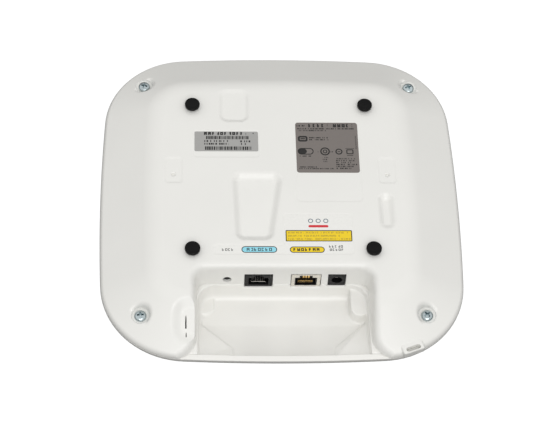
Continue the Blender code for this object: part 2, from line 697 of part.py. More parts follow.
def main_board():
    outline = rounded_polygon(rectangle(-BOARD_X, BOARD_X, *BOARD_Y), 6, 0, 4)
    board = prism("main_board", outline, BOARD_BOTTOM_Z, BOARD_TOP_Z, "board_green")
    for i, (x, y) in enumerate(BOARD_SCREW_XY):
        cut(board, prism(f"board_hole_{i}", circle(1.6, 14, (x, y)), -12, 0))


def shield_can(name, low, high, down):
    """A pressed can with a rim step. It opens towards the board, which is above it when down is true."""
    step = 1.0
    outline = rounded_polygon(rectangle(low[0], high[0], low[1], high[1]), 0.8, 0, 2)
    lid = rounded_polygon(rectangle(low[0], high[0], low[1], high[1]), 0.8, -step, 2)
    inner = rounded_polygon(rectangle(low[0], high[0], low[1], high[1]), 0.8, -0.4, 2)
    base, top = (BOARD_BOTTOM_Z - 0.1, BOARD_BOTTOM_Z - 3.2) if down else (
        BOARD_TOP_Z + 0.1, BOARD_TOP_Z + 2.1
    )
    near = top + 0.6 if down else top - 0.6
    can = loft(name, [at_height(outline, base), at_height(outline, near), at_height(lid, top)], "nickel")
    inside = near + (0.3 if down else -0.3)
    beyond = base + (2 if down else -2)
    cut(can, prism(f"{name}_hollow", inner, min(inside, beyond), max(inside, beyond)))


def board_parts():
    main_board()
    box("processor_chip", (-25.5, -33.0, BOARD_TOP_Z + 0.1), (-8.5, -16.0, -5.4), "chip_black")
    pad_top = -TRAPEZOID_DEPTH - 2.1
    box("processor_thermal_pad", (-24.5, -32.0, -5.3), (-9.5, -17.0, pad_top), "thermal_pad")
    shield_can("radio_shield_top", (-35.5, 50.5), (-20.0, 71.0), False)
    box(
        "radio_thermal_pad", (-33.5, 53.0, BOARD_TOP_Z + 2.2), (-22.0, 69.0, -TOP_PAD_DEPTH - 2.1),
        "thermal_pad"
    )
    shield_can("radio_shield_lower", (12.0, 18.0), (48.0, 46.0), True)
    shield_can("processor_shield_lower", (-44.0, -8.0), (-12.0, 26.0), True)
    under = BOARD_BOTTOM_Z - 0.1
    inductor = rounded_polygon(rectangle(28.0, 40.0, -28.0, -16.0), 2.0, 0, 3)
    narrow = rounded_polygon(rectangle(28.0, 40.0, -28.0, -16.0), 2.0, -0.8, 3)
    loft(
        "power_inductor",
        [at_height(inductor, under), at_height(inductor, under - 5), at_height(narrow, under - 6)],
        "ferrite"
    )
    profile = [(0, under - 9), (4.6, under - 9), (5.0, under - 8.4), (5.0, under), (0, under)]
    turned("bulk_capacitor", profile, 20, (52.0, -22.0, 0), "nickel")


# ---------------------------------------------------------------- ports


def socket_cutter(name, centre_x, top_z, mouth_y, depth):
    """An 8-way modular socket's mouth: the plug's body with the latch's two steps above it."""
    half, latch, key = 5.95, 3.2, 2.0
    floor, body_top = top_z - 10.9, top_z - 3.4
    outline = [(-half, floor), (half, floor), (half, body_top), (latch, body_top), (latch, body_top + 1.3),
               (key, body_top + 1.3), (key, top_z - 0.9), (-key, top_z - 0.9), (-key, body_top + 1.3),
               (-latch, body_top + 1.3), (-latch, body_top), (-half, body_top)]
    rings = [[(centre_x + x, y, z) for x, z in outline] for y in (mouth_y - 1, mouth_y + depth)]
    return loft(name, rings)


def contact_comb(name, centre_x, pivot_y, pivot_z, material):
    """Eight spring wires rising inwards from a bar near the mouth, with their origin on the hinge line."""
    bm = bmesh.new()

    def add_prism(low_x, high_x, section):
        loops = [[bm.verts.new((x, y, z)) for y, z in section] for x in (low_x, high_x)]
        for i in range(len(section)):
            j = (i + 1) % len(section)
            bm.faces.new((loops[0][i], loops[0][j], loops[1][j], loops[1][i]))
        bm.faces.new(loops[0])
        bm.faces.new(loops[1])

    add_prism(-4.5, 4.5, [(-0.5, -0.35), (0.5, -0.35), (0.5, 0.35), (-0.5, 0.35)])
    bar = to_object(name, bm, material)
    for i in range(8):
        x = (i - 3.5) * 1.02
        bm = bmesh.new()
        add_prism(
            x - 0.2, x + 0.2, [(0.0, -0.2), (0.0, 0.2), (7.4, 2.95), (9.2, 3.0), (9.2, 2.65), (7.5, 2.6)]
        )
        join(bar, to_object(f"{name}_wire_{i}", bm))
        bpy.data.objects[f"{name}_wire_{i}"].parent = bar
    bar.location = Vector((centre_x, pivot_y, pivot_z)) * MM
    return bar


def console_jack():
    low_x, high_x = CONSOLE_PORT[0] + 0.35, CONSOLE_PORT[1] - 0.35
    top, bottom = PORT_TOP_Z - 0.3, CONSOLE_PORT[2] + 0.25
    centre = (low_x + high_x) / 2
    housing = box("console_jack_housing", (low_x, PORT_FACE_Y, bottom), (high_x, -38.0, top), "black_plastic")
    cut(housing, socket_cutter("console_socket", centre, top, PORT_FACE_Y, 14.5))
    cut(
        housing,
        box(
            "console_trough", (centre - 5.0, PORT_FACE_Y + 1.6, top - 12.3),
            (centre + 5.0, PORT_FACE_Y + 14.0, top - 9.0)
        )
    )
    contact_comb("console_contacts", centre, PORT_FACE_Y + 2.6, top - 11.6, "nickel")


def ethernet_jack():
    low_x, high_x = ETHERNET_PORT[0] + 0.35, ETHERNET_PORT[1] - 0.35
    top, bottom = PORT_TOP_Z - 0.3, ETHERNET_PORT[2] + 0.1
    centre = (low_x + high_x) / 2
    shield = box("ethernet_jack_shield", (low_x, PORT_FACE_Y, bottom), (high_x, -36.0, top), "nickel")
    cut(
        shield,
        box(
            "shield_hollow", (low_x + 0.35, PORT_FACE_Y + 0.35, bottom + 0.35),
            (high_x - 0.35, -30, top - 0.35)
        )
    )
    cut(shield, box("shield_window", (centre - 6.6, -60, bottom + 0.9), (centre + 6.6, -50, top - 3.0)))
    cut(shield, box("shield_latch_window", (centre - 3.9, -60, top - 4.0), (centre + 3.9, -50, top - 0.8)))
    insert_top, insert_bottom = top - 0.45, bottom + 0.45
    insert = box(
        "ethernet_jack_insert", (low_x + 0.45, PORT_FACE_Y + 0.45, insert_bottom),
        (high_x - 0.45, -36.4, insert_top), "black_plastic"
    )
    cut(insert, socket_cutter("ethernet_socket", centre, insert_top, PORT_FACE_Y, 15.0))
    cut(insert, box("ethernet_trough", (centre - 5.0, PORT_FACE_Y + 2.0, insert_top - 11.75),
                    (centre + 5.0, PORT_FACE_Y + 14.4, insert_top - 9.0)))
    contact_comb("ethernet_contacts", centre, PORT_FACE_Y + 3.0, insert_top - 11.1, "gold")


def power_jack():
    low_x, high_x = POWER_PORT[0] + 0.3, POWER_PORT[1] - 0.3
    top, bottom = PORT_TOP_Z - 0.3, POWER_PORT[2] + 0.25
    centre = ((low_x + high_x) / 2, -13.9)
    housing = box("power_jack_housing", (low_x, PORT_FACE_Y, bottom), (high_x, -43.5, top), "black_plastic")
    bore = [(0, 0.0), (3.3, 0.0), (3.3, 11.5), (0, 11.5)]
    cut(housing, turned("power_bore", bore, 24, (centre[0], PORT_FACE_Y - 1, centre[1]), axis="Y"))
    cut(
        housing,
        turned(
            "pin_seat", [(0, 0.0), (1.35, 0.0), (1.35, 8.0), (0, 8.0)], 12, (centre[0], -49.0, centre[1]),
            axis="Y"
        )
    )
    cut(
        housing,
        box("spring_pocket", (centre[0] - 1.2, -54.6, centre[1] - 4.9), (centre[0] + 1.2, -46.4, centre[1]))
    )
    pin = [(0, 0.0), (0.7, 0.0), (1.05, 0.5), (1.05, 13.0), (0, 13.0)]
    turned("power_jack_pin", pin, 14, (centre[0], -55.6, centre[1]), "nickel", axis="Y")
    spring = bmesh.new()
    section = [(0.0, -0.2), (0.0, 0.2), (-3.2, 1.35), (-6.2, 1.3), (-6.6, 0.7), (-6.2, 0.95), (-3.2, 1.0)]
    loops = [[spring.verts.new((x, y, z)) for y, z in section] for x in (-0.9, 0.9)]
    for i in range(len(section)):
        j = (i + 1) % len(section)
        spring.faces.new((loops[0][i], loops[0][j], loops[1][j], loops[1][i]))
    spring.faces.new(loops[0])
    spring.faces.new(loops[1])
    made = to_object("power_jack_spring", spring, "nickel")
    made.location = Vector((centre[0], -47.2, centre[1] - 4.2)) * MM


def mode_button():
    """The recessed button and the switch behind it. The button slides into the switch along +Y."""
    x, z = MODE_XZ
    body = box(
        "mode_switch_body", (x - 3.2, -49.4, -17.0), (x + 3.2, -44.4, BOARD_BOTTOM_Z - 0.1), "black_plastic"
    )
    cut(
        body,
        turned("plunger_bore", [(0, 0.0), (1.6, 0.0), (1.6, 4.4), (0, 4.4)], 14, (x, -51.0, z), axis="Y")
    )
    profile = [(0, 0.0), (1.5, 0.0), (1.8, 0.3), (1.8, 5.6), (1.2, 5.6), (1.2, 8.6), (0, 8.6)]
    plunger = turned("mode_button", profile, 16, (0, 0, 0), "black_plastic", axis="Y")
    plunger.location = Vector((x, -56.4, z)) * MM


# ---------------------------------------------------------------- lamp and antenna jacks


def status_lamp():
    """A light pipe from the face's lens up to the lamp on the board."""
    lens = rounded_polygon(
        rectangle(-LAMP_HALF_LENGTH, LAMP_HALF_LENGTH, -LAMP_HALF_WIDTH, LAMP_HALF_WIDTH),
        LAMP_HALF_WIDTH - 0.05, -0.05, 5
    )
    stem = [(x * 0.35, y) for x, y in lens]
    rings = [at_height(lens, -40.1), at_height(lens, -37.0), at_height(stem, -31.0), at_height(stem, -10.6)]
    loft("status_light_pipe", rings, "clear_plastic")
    box("status_lamp", (-1.6, -1.4, -10.2), (1.6, 1.4, BOARD_BOTTOM_Z - 0.1), "white_insulator")


def hexagon(across_flats, centre):
    return circle(across_flats / math.sqrt(3), 6, centre)


def antenna_jack(index, centre):
    """A bulkhead coaxial jack: threaded barrel through the seat, hexagonal flange inside, nut outside."""
    seat_inside = ANTENNA_SEAT_Z + 2.6
    barrel = [
        (0, -20.5), (2.6, -20.5), (2.6, -27.0), (5.5, -27.0), (5.5, JACK_TIP_Z + 0.4),
        (5.2, JACK_TIP_Z), (4.3, JACK_TIP_Z), (4.3, -33.0), (0, -33.0),
    ]
    jack = turned(f"antenna_jack_{index}", barrel, 20, (*centre, 0), "nickel")
    join(jack, prism(f"jack_flange_{index}", hexagon(14.0, centre), seat_inside + 0.1, seat_inside + 2.1))
    cut(jack, prism(f"core_seat_{index}", circle(1.7, 12, centre), -36.0, -30.0))
    core = [
        (0, -30.2), (1.5, -30.2), (1.5, -34.2), (3.0, -34.2), (3.0, -40.0), (1.2, -40.0), (1.2, -41.5),
        (0.5, -41.9), (0, -41.9)
    ]
    turned(f"antenna_core_{index}", core, 14, (*centre, 0), "white_insulator")
    nut = prism(
        f"antenna_nut_{index}", hexagon(14.0, centre), ANTENNA_SEAT_Z - 2.6, ANTENNA_SEAT_Z - 0.1, "nickel"
    )
    cut(nut, prism(f"nut_bore_{index}", circle(5.75, 24, centre), -50, -20))


def smooth_route(points, steps):
    """A Catmull-Rom curve through the points, with that many steps to each stretch."""
    padded = [points[0], *points, points[-1]]
    route = []
    for i in range(len(points) - 1):
        p0, p1, p2, p3 = (Vector(p) for p in padded[i : i + 4])
        for k in range(steps):
            t = k / steps
            square = (2 * p0 - 5 * p1 + 4 * p2 - p3) * t**2
            cube = (3 * p1 - p0 - 3 * p2 + p3) * t**3
            route.append(0.5 * (2 * p1 + (p2 - p0) * t + square + cube))
    route.append(Vector(points[-1]))
    return route


COAX_ROUTES = [
    [
        (-72, 72, -20.2), (-72, 71.8, -18.0), (-71, 68, -15.0), (-66, 58, -13.2),
        (-58, 48, -13.0), (-50, 42, -12.4), (-46.5, 40, -11.2), (-46, 39.6, -9.8),
    ],
    [
        (72, 72, -20.2), (72, 71.8, -18.0), (71, 69, -15.0), (68, 62, -13.2),
        (62, 56, -13.0), (57, 53, -12.4), (54.4, 51.6, -11.2), (54, 51.2, -9.8),
    ],
    [
        (-72, -72, -20.2), (-72, -71.6, -18.0), (-71.5, -68, -15.2), (-70, -56, -13.4),
        (-66, -42, -13.2), (-60, -28, -13.0), (-55.5, -20, -12.2), (-54.4, -17, -11.2),
        (-54.2, -16.4, -9.8),
    ],
]


def antenna_coax(index, points):
    """A thin coaxial lead from the jack's barrel to its snap-on plug at the board."""
    curve = bpy.data.curves.new(f"antenna_coax_{index}", "CURVE")
    curve.dimensions = "3D"
    curve.bevel_depth = 0.9 * MM
    curve.bevel_resolution = 2
    curve.use_fill_caps = True
    route = smooth_route(points, 3)
    spline = curve.splines.new("POLY")
    spline.points.add(len(route) - 1)
    for point, place in zip(spline.points, route):
        point.co = (*(place * MM), 1.0)
    curve.materials.append(material("cable_jacket"))
    made = bpy.data.objects.new(f"antenna_coax_{index}", curve)
    bpy.context.scene.collection.objects.link(made)


# ---------------------------------------------------------------- assembly


def clear_scene():
    for existing in list(bpy.data.objects):
        bpy.data.objects.remove(existing, do_unlink=True)


def main():
    clear_scene()
    rear_shell()
    bay_liner()
    front_cover()
    for i, centre in enumerate(COVER_SCREW_XY, 1):
        cover_screw(i, centre)
        thread_insert(i, centre)
    for i, centre in enumerate(PIN_XY, 1):
        mount_pin(i, centre)
    for i, centre in enumerate(BOARD_SCREW_XY, 1):
        board_screw(i, centre)
    labels()
    board_parts()
    console_jack()
    ethernet_jack()
    power_jack()
    mode_button()
    status_lamp()
    for i, centre in enumerate(ANTENNA_XY, 1):
        antenna_jack(i, centre)
        antenna_coax(i, COAX_ROUTES[i - 1])


main()
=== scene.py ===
"""Looks for a ceiling access point: smooth shells, printed labels, screws, jacks and their materials."""

import math
import random

import bmesh
import bpy
from mathutils import Matrix, Vector


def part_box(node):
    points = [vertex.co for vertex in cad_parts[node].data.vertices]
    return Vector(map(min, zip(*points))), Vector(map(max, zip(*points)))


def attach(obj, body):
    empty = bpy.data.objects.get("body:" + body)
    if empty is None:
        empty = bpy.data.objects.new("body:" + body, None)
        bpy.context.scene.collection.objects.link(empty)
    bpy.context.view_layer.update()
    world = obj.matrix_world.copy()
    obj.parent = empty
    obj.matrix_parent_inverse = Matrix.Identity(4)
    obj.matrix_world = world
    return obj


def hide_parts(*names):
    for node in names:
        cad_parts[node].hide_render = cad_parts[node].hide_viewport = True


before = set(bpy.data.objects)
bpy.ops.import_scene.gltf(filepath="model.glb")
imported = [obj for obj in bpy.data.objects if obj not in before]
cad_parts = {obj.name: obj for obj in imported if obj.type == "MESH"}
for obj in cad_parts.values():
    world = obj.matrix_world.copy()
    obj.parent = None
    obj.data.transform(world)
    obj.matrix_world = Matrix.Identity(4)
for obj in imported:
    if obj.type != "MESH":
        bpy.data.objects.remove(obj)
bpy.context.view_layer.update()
scene = bpy.context.scene
MM = 0.001


def box_mm(node):
    low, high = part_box(node)
    return low / MM, high / MM


def centre_xy(node):
    low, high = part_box(node)
    return (low.x + high.x) / 2 / MM, (low.y + high.y) / 2 / MM


# ------------ sizes, in millimetres

SHELL_LOW, SHELL_HIGH = box_mm("rear_shell")
HALF_SIDE = SHELL_HIGH.x
PARTING_Z = SHELL_LOW.z
FACE_Z = box_mm("front_cover")[0].z
CORNER_RADIUS, SIDE_RADIUS = 51.4, 1207.0
SHELL_WALL = 2.2
EDGE_RADIUS = 4.0
DOME_POWER = 4.6
SHOULDER_SLOPE = 0.48
SHOULDER_BLEND = 12.0
GAP = 0.3
RIM_WIDTH = 2.8

BAY_HALF_WIDTH = 52.5
BAY_WALL_Y = -57.2
BAY_CORNER = 6.7
TRAY_CORNER = 12.5
BAY_FILLET = 4.5
BAY_WALL = 3.0
BAY_DRAFT = 1.5
LEG_END_X, LEG_END_Y, LEG_END_RADIUS = 66.0, -96.0, 13.5
LEG_END_SWEEP = math.radians(62)
BAY_FLOOR_Z = -31.0

COVER_SCREW_XY = [centre_xy(f"cover_screw_{i}") for i in (1, 2, 3, 4)]
POCKET_RADIUS = 5.5
POCKET_FLOOR_Z = -12.0
PIN_XY = [centre_xy(f"pin_cap_{i}") for i in (1, 2, 3, 4)]
PIN_TOP_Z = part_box("pin_cap_1")[1].z / MM
ANTENNA_XY = [centre_xy(f"antenna_core_{i}") for i in (1, 2, 3)]
JACK_TIP_Z = box_mm("antenna_jack_1")[0].z
ANTENNA_SEAT_Z = -31.5
ANTENNA_SEAT_RADIUS = 9.5
ANTENNA_HEX_RADIUS = 14.0 / math.sqrt(3)
LAMP_HALF_LENGTH, LAMP_HALF_WIDTH = 6.0, 1.6

TRAPEZOID = [(-26.6, -36.4), (-7.2, -36.4), (-0.4, 8.8), (-28.2, 8.8)]
TRAPEZOID_DEPTH = 2.6
PORT_RECESS = [(-42.2, -48.2), (42.4, -48.2), (42.4, -19.5), (0.3, -19.5), (0.3, -41.3), (-42.2, -41.3)]
TOP_PAD = (-36.2, -19.6, 49.8, 73.2)
SCOOP = (58.6, 68.4, -30.3, -4.6)
RATING_RECESS = (9.3, 49.5, -10.6, 48.9)
SERIAL_RECESS = (-53.3, -12.8, 22.0, 42.0)
LABEL_RECESS_DEPTH = 0.22
LOCK_DISH = (-59.4, -46.0, -95.5, -83.0)
LOCK_DISH_DEPTH = 3.0
HASP_PLACE = (75.4, -104.9, -14.3)
HASP_TURN = math.radians(20)


def port_opening(node, spare, low_z):
    """Low and high x, then low and high z, of the wall opening around a jack."""
    low, high = box_mm(node)
    return (low.x - spare, high.x + spare, low_z, -7.9)


PORTS = {
    "console": port_opening("console_jack_housing", 0.35, -21.2),
    "ethernet": port_opening("ethernet_jack_shield", 0.35, -20.9),
    "power": port_opening("power_jack_housing", 0.3, -20.0),
}
MODE_LOW, MODE_HIGH = box_mm("mode_button")
MODE_X, MODE_Z = (MODE_LOW.x + MODE_HIGH.x) / 2, (MODE_LOW.z + MODE_HIGH.z) / 2
MODE_HOLE_RADIUS = 2.6

# ------------ materials

NOISE_LOW, NOISE_HIGH = 0.3, 0.7


def fill(node, **values):
    """Sets a node's inputs by name, with _ for a space."""
    for key, value in values.items():
        node.inputs[key.replace("_", " ")].default_value = value


def map_range(tree, value, from_low, from_high, to_low, to_high):
    node = tree.nodes.new("ShaderNodeMapRange")
    fill(node, From_Min=from_low, From_Max=from_high, To_Min=to_low, To_Max=to_high)
    tree.links.new(value, node.inputs["Value"])
    return node.outputs["Result"]


class Nodes:
    """A material's node tree, with short calls for the nodes used here."""

    def __init__(self, name, colour, roughness, metallic=0.0):
        self.material = bpy.data.materials.new(name)
        self.material.use_nodes = True
        self.tree = self.material.node_tree
        self.shader = self.tree.nodes["Principled BSDF"]
        self.set(Base_Color=(*colour, 1.0), Roughness=roughness, Metallic=metallic)
        self.place = self.add("ShaderNodeTexCoord").outputs["Object"]

    def add(self, kind):
        return self.tree.nodes.new(kind)

    def link(self, a, b):
        self.tree.links.new(a, b)

    def noise(self, scale, detail=4.0, roughness=0.55, stretch=None):
        node = self.add("ShaderNodeTexNoise")
        fill(node, Scale=scale, Detail=detail, Roughness=roughness)
        place = self.place
        if stretch:
            mapping = self.add("ShaderNodeMapping")
            fill(mapping, Scale=stretch)
            self.link(place, mapping.inputs["Vector"])
            place = mapping.outputs["Vector"]
        self.link(place, node.inputs["Vector"])
        return node.outputs["Fac"]

    def colour(self, value, low, high):
        """Base colour between two colours, by value."""
        ramp = self.add("ShaderNodeValToRGB")
        ramp.color_ramp.elements[0].position = NOISE_LOW
        ramp.color_ramp.elements[1].position = NOISE_HIGH
        ramp.color_ramp.elements[0].color = (*low, 1.0)
        ramp.color_ramp.elements[1].color = (*high, 1.0)
        self.link(value, ramp.inputs["Fac"])
        self.link(ramp.outputs["Color"], self.shader.inputs["Base Color"])

    def rough(self, value, low, high):
        """Roughness between two numbers, by value."""
        spread = map_range(self.tree, value, NOISE_LOW, NOISE_HIGH, low, high)
        self.link(spread, self.shader.inputs["Roughness"])

    def bump(self, value, strength, distance):
        node = self.add("ShaderNodeBump")
        fill(node, Strength=strength, Distance=distance)
        self.link(value, node.inputs["Height"])
        self.link(node.outputs["Normal"], self.shader.inputs["Normal"])

    def set(self, **values):
        fill(self.shader, **values)


def tint(colour, share):
    return tuple(min(1.0, c * share) for c in colour)


def coated(name, colour, roughness, coat, orange_peel):
    """Paint or glossy moulded plastic: faint clouding, uneven gloss and a fine orange peel."""
    made = Nodes(name, colour, roughness)
    cloud = made.noise(18.0, 5.0)
    made.colour(cloud, tint(colour, 0.985), tint(colour, 1.012))
    made.rough(made.noise(260.0, 3.0), roughness - 0.006, roughness + 0.008)
    made.bump(made.noise(520.0, 2.0, 0.4), 0.05, orange_peel)
    made.set(Coat_Weight=coat, Coat_Roughness=0.08)
    return made.material


def moulded(name, colour, roughness, grain=900.0, depth=2.0e-5, strength=0.35, shine=0.5):
    """Textured engineering plastic or rubber: spark-eroded grain, slightly mottled."""
    made = Nodes(name, colour, roughness)
    fine = made.noise(grain, 6.0, 0.65)
    made.colour(made.noise(120.0, 4.0), tint(colour, 0.82), tint(colour, 1.25))
    made.rough(fine, roughness - 0.08, roughness + 0.1)
    made.bump(fine, strength, depth)
    made.set(Specular_IOR_Level=shine)
    return made.material


def metal(name, colour, roughness, stretch=None, scale=300.0):
    """Plated or brushed metal with fine marks, stretched where it is brushed."""
    made = Nodes(name, colour, roughness, 1.0)
    marks = made.noise(scale, 6.0, 0.6, stretch)
    made.colour(made.noise(90.0, 3.0), tint(colour, 0.88), tint(colour, 1.05))
    made.rough(marks, roughness - 0.07, roughness + 0.12)
    made.bump(marks, 0.25, 6.0e-6)
    return made.material


def label_stock(name, colour, roughness):
    """Printed label film: a faint fibre and gloss variation."""
    made = Nodes(name, colour, roughness)
    made.colour(made.noise(700.0, 3.0), tint(colour, 0.975), tint(colour, 1.02))
    made.rough(made.noise(260.0, 3.0), roughness - 0.06, roughness + 0.06)
    made.bump(made.noise(1500.0, 2.0), 0.04, 3.0e-6)
    return made.material


def board_material():
    """Solder mask over copper: darker where a grid of tracks runs under it."""
    made = Nodes("board_green", (0.02, 0.14, 0.06), 0.4)
    tracks = made.add("ShaderNodeTexBrick")
    fill(tracks, Scale=160.0, Mortar_Size=0.03, Mortar=(0.03, 0.24, 0.1, 1))
    fill(tracks, Color1=(0.015, 0.13, 0.055, 1), Color2=(0.02, 0.17, 0.075, 1))
    made.link(made.place, tracks.inputs["Vector"])
    made.link(tracks.outputs["Color"], made.shader.inputs["Base Color"])
    made.rough(made.noise(500.0), 0.32, 0.48)
    made.bump(tracks.outputs["Fac"], 0.2, 2.0e-5)
    return made.material


def clear_material():
    """Clear plastic of the light pipe."""
    made = Nodes("clear_plastic", (0.86, 0.91, 0.93), 0.12)
    made.rough(made.noise(400.0), 0.08, 0.18)
    made.bump(made.noise(900.0), 0.05, 5.0e-6)
    made.set(Transmission_Weight=0.6, IOR=1.49)
    return made.material


FINISHES = [
    coated("white_paint", (0.79, 0.785, 0.755), 0.3, 0.12, 1.0e-5),
    coated("white_plastic", (0.82, 0.812, 0.78), 0.32, 0.1, 1.0e-5),
    moulded("black_rubber", (0.0025, 0.0025, 0.0023), 0.22, 700.0, 1.0e-5, 0.1, 0.14),
    moulded("black_plastic", (0.006, 0.006, 0.0063), 0.36, 1100.0, 2.0e-5, 0.3, 0.2),
    metal("zinc_steel", (0.52, 0.59, 0.61), 0.13, None, 450.0),
    metal("nickel", (0.74, 0.71, 0.65), 0.27, (1.0, 12.0, 1.0), 260.0),
    metal("brass", (0.78, 0.58, 0.25), 0.3),
    metal("gold", (0.92, 0.6, 0.22), 0.2, (14.0, 1.0, 1.0), 240.0),
    label_stock("silver_label", (0.36, 0.357, 0.345), 0.38),
    label_stock("grey_label", (0.175, 0.155, 0.143), 0.4),
    label_stock("white_label", (0.80, 0.795, 0.765), 0.35),
    board_material(),
    moulded("chip_black", (0.02, 0.02, 0.021), 0.5, 1400.0),
    moulded("thermal_pad", (0.28, 0.36, 0.42), 0.8, 500.0),
    clear_material(),
    moulded("ferrite", (0.05, 0.05, 0.055), 0.62, 800.0),
    moulded("cable_jacket", (0.015, 0.015, 0.015), 0.42, 600.0),
    moulded("white_insulator", (0.8, 0.79, 0.76), 0.45, 900.0),
    label_stock("ink_black", (0.008, 0.0075, 0.007), 0.55),
    label_stock("ink_grey", (0.05, 0.05, 0.05), 0.5),
    label_stock("ink_yellow", (0.84, 0.60, 0.006), 0.4),
    label_stock("ink_blue", (0.28, 0.66, 0.78), 0.4),
    label_stock("ink_red", (0.62, 0.02, 0.03), 0.4),
    label_stock("ink_navy", (0.05, 0.1, 0.14), 0.4),
    label_stock("ink_notice", (0.36, 0.25, 0.03), 0.45),
]
MATERIALS = {finish.name.split(".")[0]: finish for finish in FINISHES}

# ------------ mesh helpers


def linked(name, data):
    made = bpy.data.objects.new(name, data)
    scene.collection.objects.link(made)
    return made


def to_object(name, bm, material=None):
    """An object from a bmesh in millimetres, with its faces turned outwards."""
    bmesh.ops.recalc_face_normals(bm, faces=bm.faces)
    bmesh.ops.transform(bm, matrix=Matrix.Scale(MM, 4), verts=bm.verts)
    mesh = bpy.data.meshes.new(name)
    bm.to_mesh(mesh)
    bm.free()
    if material:
        mesh.materials.append(MATERIALS[material])
    return linked(name, mesh)


def moved(bm, angle, axis, offset):
    """Turns a bmesh about an axis through the origin, then moves it."""
    turn = Matrix.Rotation(angle, 3, axis)
    bmesh.ops.rotate(bm, cent=(0, 0, 0), matrix=turn, verts=bm.verts)
    bmesh.ops.translate(bm, vec=offset, verts=bm.verts)
    return bm


def skin(bm, rings):
    """Adds a closed skin over rings that have the same number of points."""
    loops = [[bm.verts.new(p) for p in ring] for ring in rings]
    for low, high in zip(loops, loops[1:]):
        for i in range(len(low)):
            j = (i + 1) % len(low)
            bm.faces.new((low[i], low[j], high[j], high[i]))
    bm.faces.new(loops[0])
    bm.faces.new(loops[-1])
    return bm


def loft(name, rings, material=None):
    return to_object(name, skin(bmesh.new(), rings), material)


def at_height(outline, z):
    return [(x, y, z) for x, y in outline]


def prism(name, outline, low_z, high_z, material=None):
    return loft(name, [at_height(outline, low_z), at_height(outline, high_z)], material)


def rectangle(low_x, high_x, low_y, high_y):
    return [(low_x, low_y), (high_x, low_y), (high_x, high_y), (low_x, high_y)]


def box(name, low, high, material=None):
    return prism(name, rectangle(low[0], high[0], low[1], high[1]), low[2], high[2], material)


def quarter_turn(steps):
    """The angles from zero to a right angle."""
    return [math.pi / 2 * k / steps for k in range(steps + 1)]


def arc(centre, radius, start, sweep, steps):
    turns = [start + sweep * k / steps for k in range(steps + 1)]
    return [(centre[0] + radius * math.cos(t), centre[1] + radius * math.sin(t)) for t in turns]


def circle(radius, steps, centre=(0.0, 0.0)):
    return arc(centre, radius, 0.0, 2 * math.pi, steps)[:-1]


def turned(name, profile, steps, centre, material=None, axis="Z"):
    """A turned shape from points of radius and height. Axis Y lays it along Y."""
    bm = bmesh.new()
    loops = []
    for radius, z in profile:
        if radius == 0:
            loops.append([bm.verts.new((0, 0, z))])
        else:
            loops.append([bm.verts.new((x, y, z)) for x, y in circle(radius, steps)])
    for low, high in zip(loops, loops[1:]):
        for i in range(steps):
            j = (i + 1) % steps
            corners = [low[i % len(low)], low[j % len(low)], high[j % len(high)], high[i % len(high)]]
            bm.faces.new(list(dict.fromkeys(corners)))
    tilt = -math.pi / 2 if axis == "Y" else 0.0
    return to_object(name, moved(bm, tilt, "X", centre), material)


def rounded_polygon(corners, radius, offset=0.0, steps=8):
    """A polygon with arcs for corners, moved outwards by the offset."""
    points = []
    count = len(corners)
    for i in range(count):
        before, here, after = (Vector(corners[(i + k) % count]) for k in (-1, 0, 1))
        along_in, along_out = (here - before).normalized(), (after - here).normalized()
        out_in = Vector((along_in.y, -along_in.x))
        out_out = Vector((along_out.y, -along_out.x))
        turn = math.atan2(along_in.cross(along_out), along_in.dot(along_out))
        corner = here + (out_in + out_out) * (offset / (1 + out_in.dot(out_out)))
        own = max(radius + offset, 0.05) if turn > 0 else max(radius - offset, 0.05)
        reach = own * math.tan(abs(turn) / 2)
        side = 1 if turn > 0 else -1
        centre = corner - along_in * reach - out_in * own * side
        start = math.atan2(out_in.y * side, out_in.x * side)
        for k in range(steps + 1):
            a = start + turn * k / steps
            points.append((centre.x + own * math.cos(a), centre.y + own * math.sin(a)))
    return points


def modify(target, helper, operation):
    made = target.modifiers.new(helper.name, "BOOLEAN")
    made.operation = operation
    made.object = helper
    made.solver = "EXACT"
    return helper


def cut(target, *helpers):
    return [modify(target, helper, "DIFFERENCE") for helper in helpers]


def join(target, *helpers):
    return [modify(target, helper, "UNION") for helper in helpers]


def baked(made):
    """The object with its modifiers applied and its Boolean helpers deleted."""
    helpers = [m.object for m in made.modifiers if m.type == "BOOLEAN"]
    graph = bpy.context.evaluated_depsgraph_get()
    mesh = bpy.data.meshes.new_from_object(made.evaluated_get(graph))
    made.modifiers.clear()
    made.data = mesh
    for helper in helpers:
        bpy.data.objects.remove(helper, do_unlink=True)
    return made


def smooth(made, degrees=32.0, weighted=True):
    """Smooth shading up to that angle, with normals weighted by face area."""
    for polygon in made.data.polygons:
        polygon.use_smooth = True
    made.data.set_sharp_from_angle(angle=math.radians(degrees))
    if weighted:
        modifier = made.modifiers.new("weighted", "WEIGHTED_NORMAL")
        modifier.keep_sharp = True
        modifier.weight = 60
    return made


def place(made, slot, *nodes, body="body"):
    """The piece rides on the body and stands for those CAD nodes, which it hides. The slot is not used."""
    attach(made, body)
    if nodes:
        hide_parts(*nodes)


# ------------ body outline and heights


def corner_centre():
    """Where the corner arcs' centres lie along x and y, so that they meet the side arcs smoothly."""
    side_centre = HALF_SIDE - SIDE_RADIUS
    gap = SIDE_RADIUS - CORNER_RADIUS
    return (side_centre + math.sqrt(2 * gap * gap - side_centre * side_centre)) / 2


CORNER_CENTRE = corner_centre()
SIDE_HALF_ANGLE = math.atan2(CORNER_CENTRE, CORNER_CENTRE - (HALF_SIDE - SIDE_RADIUS))


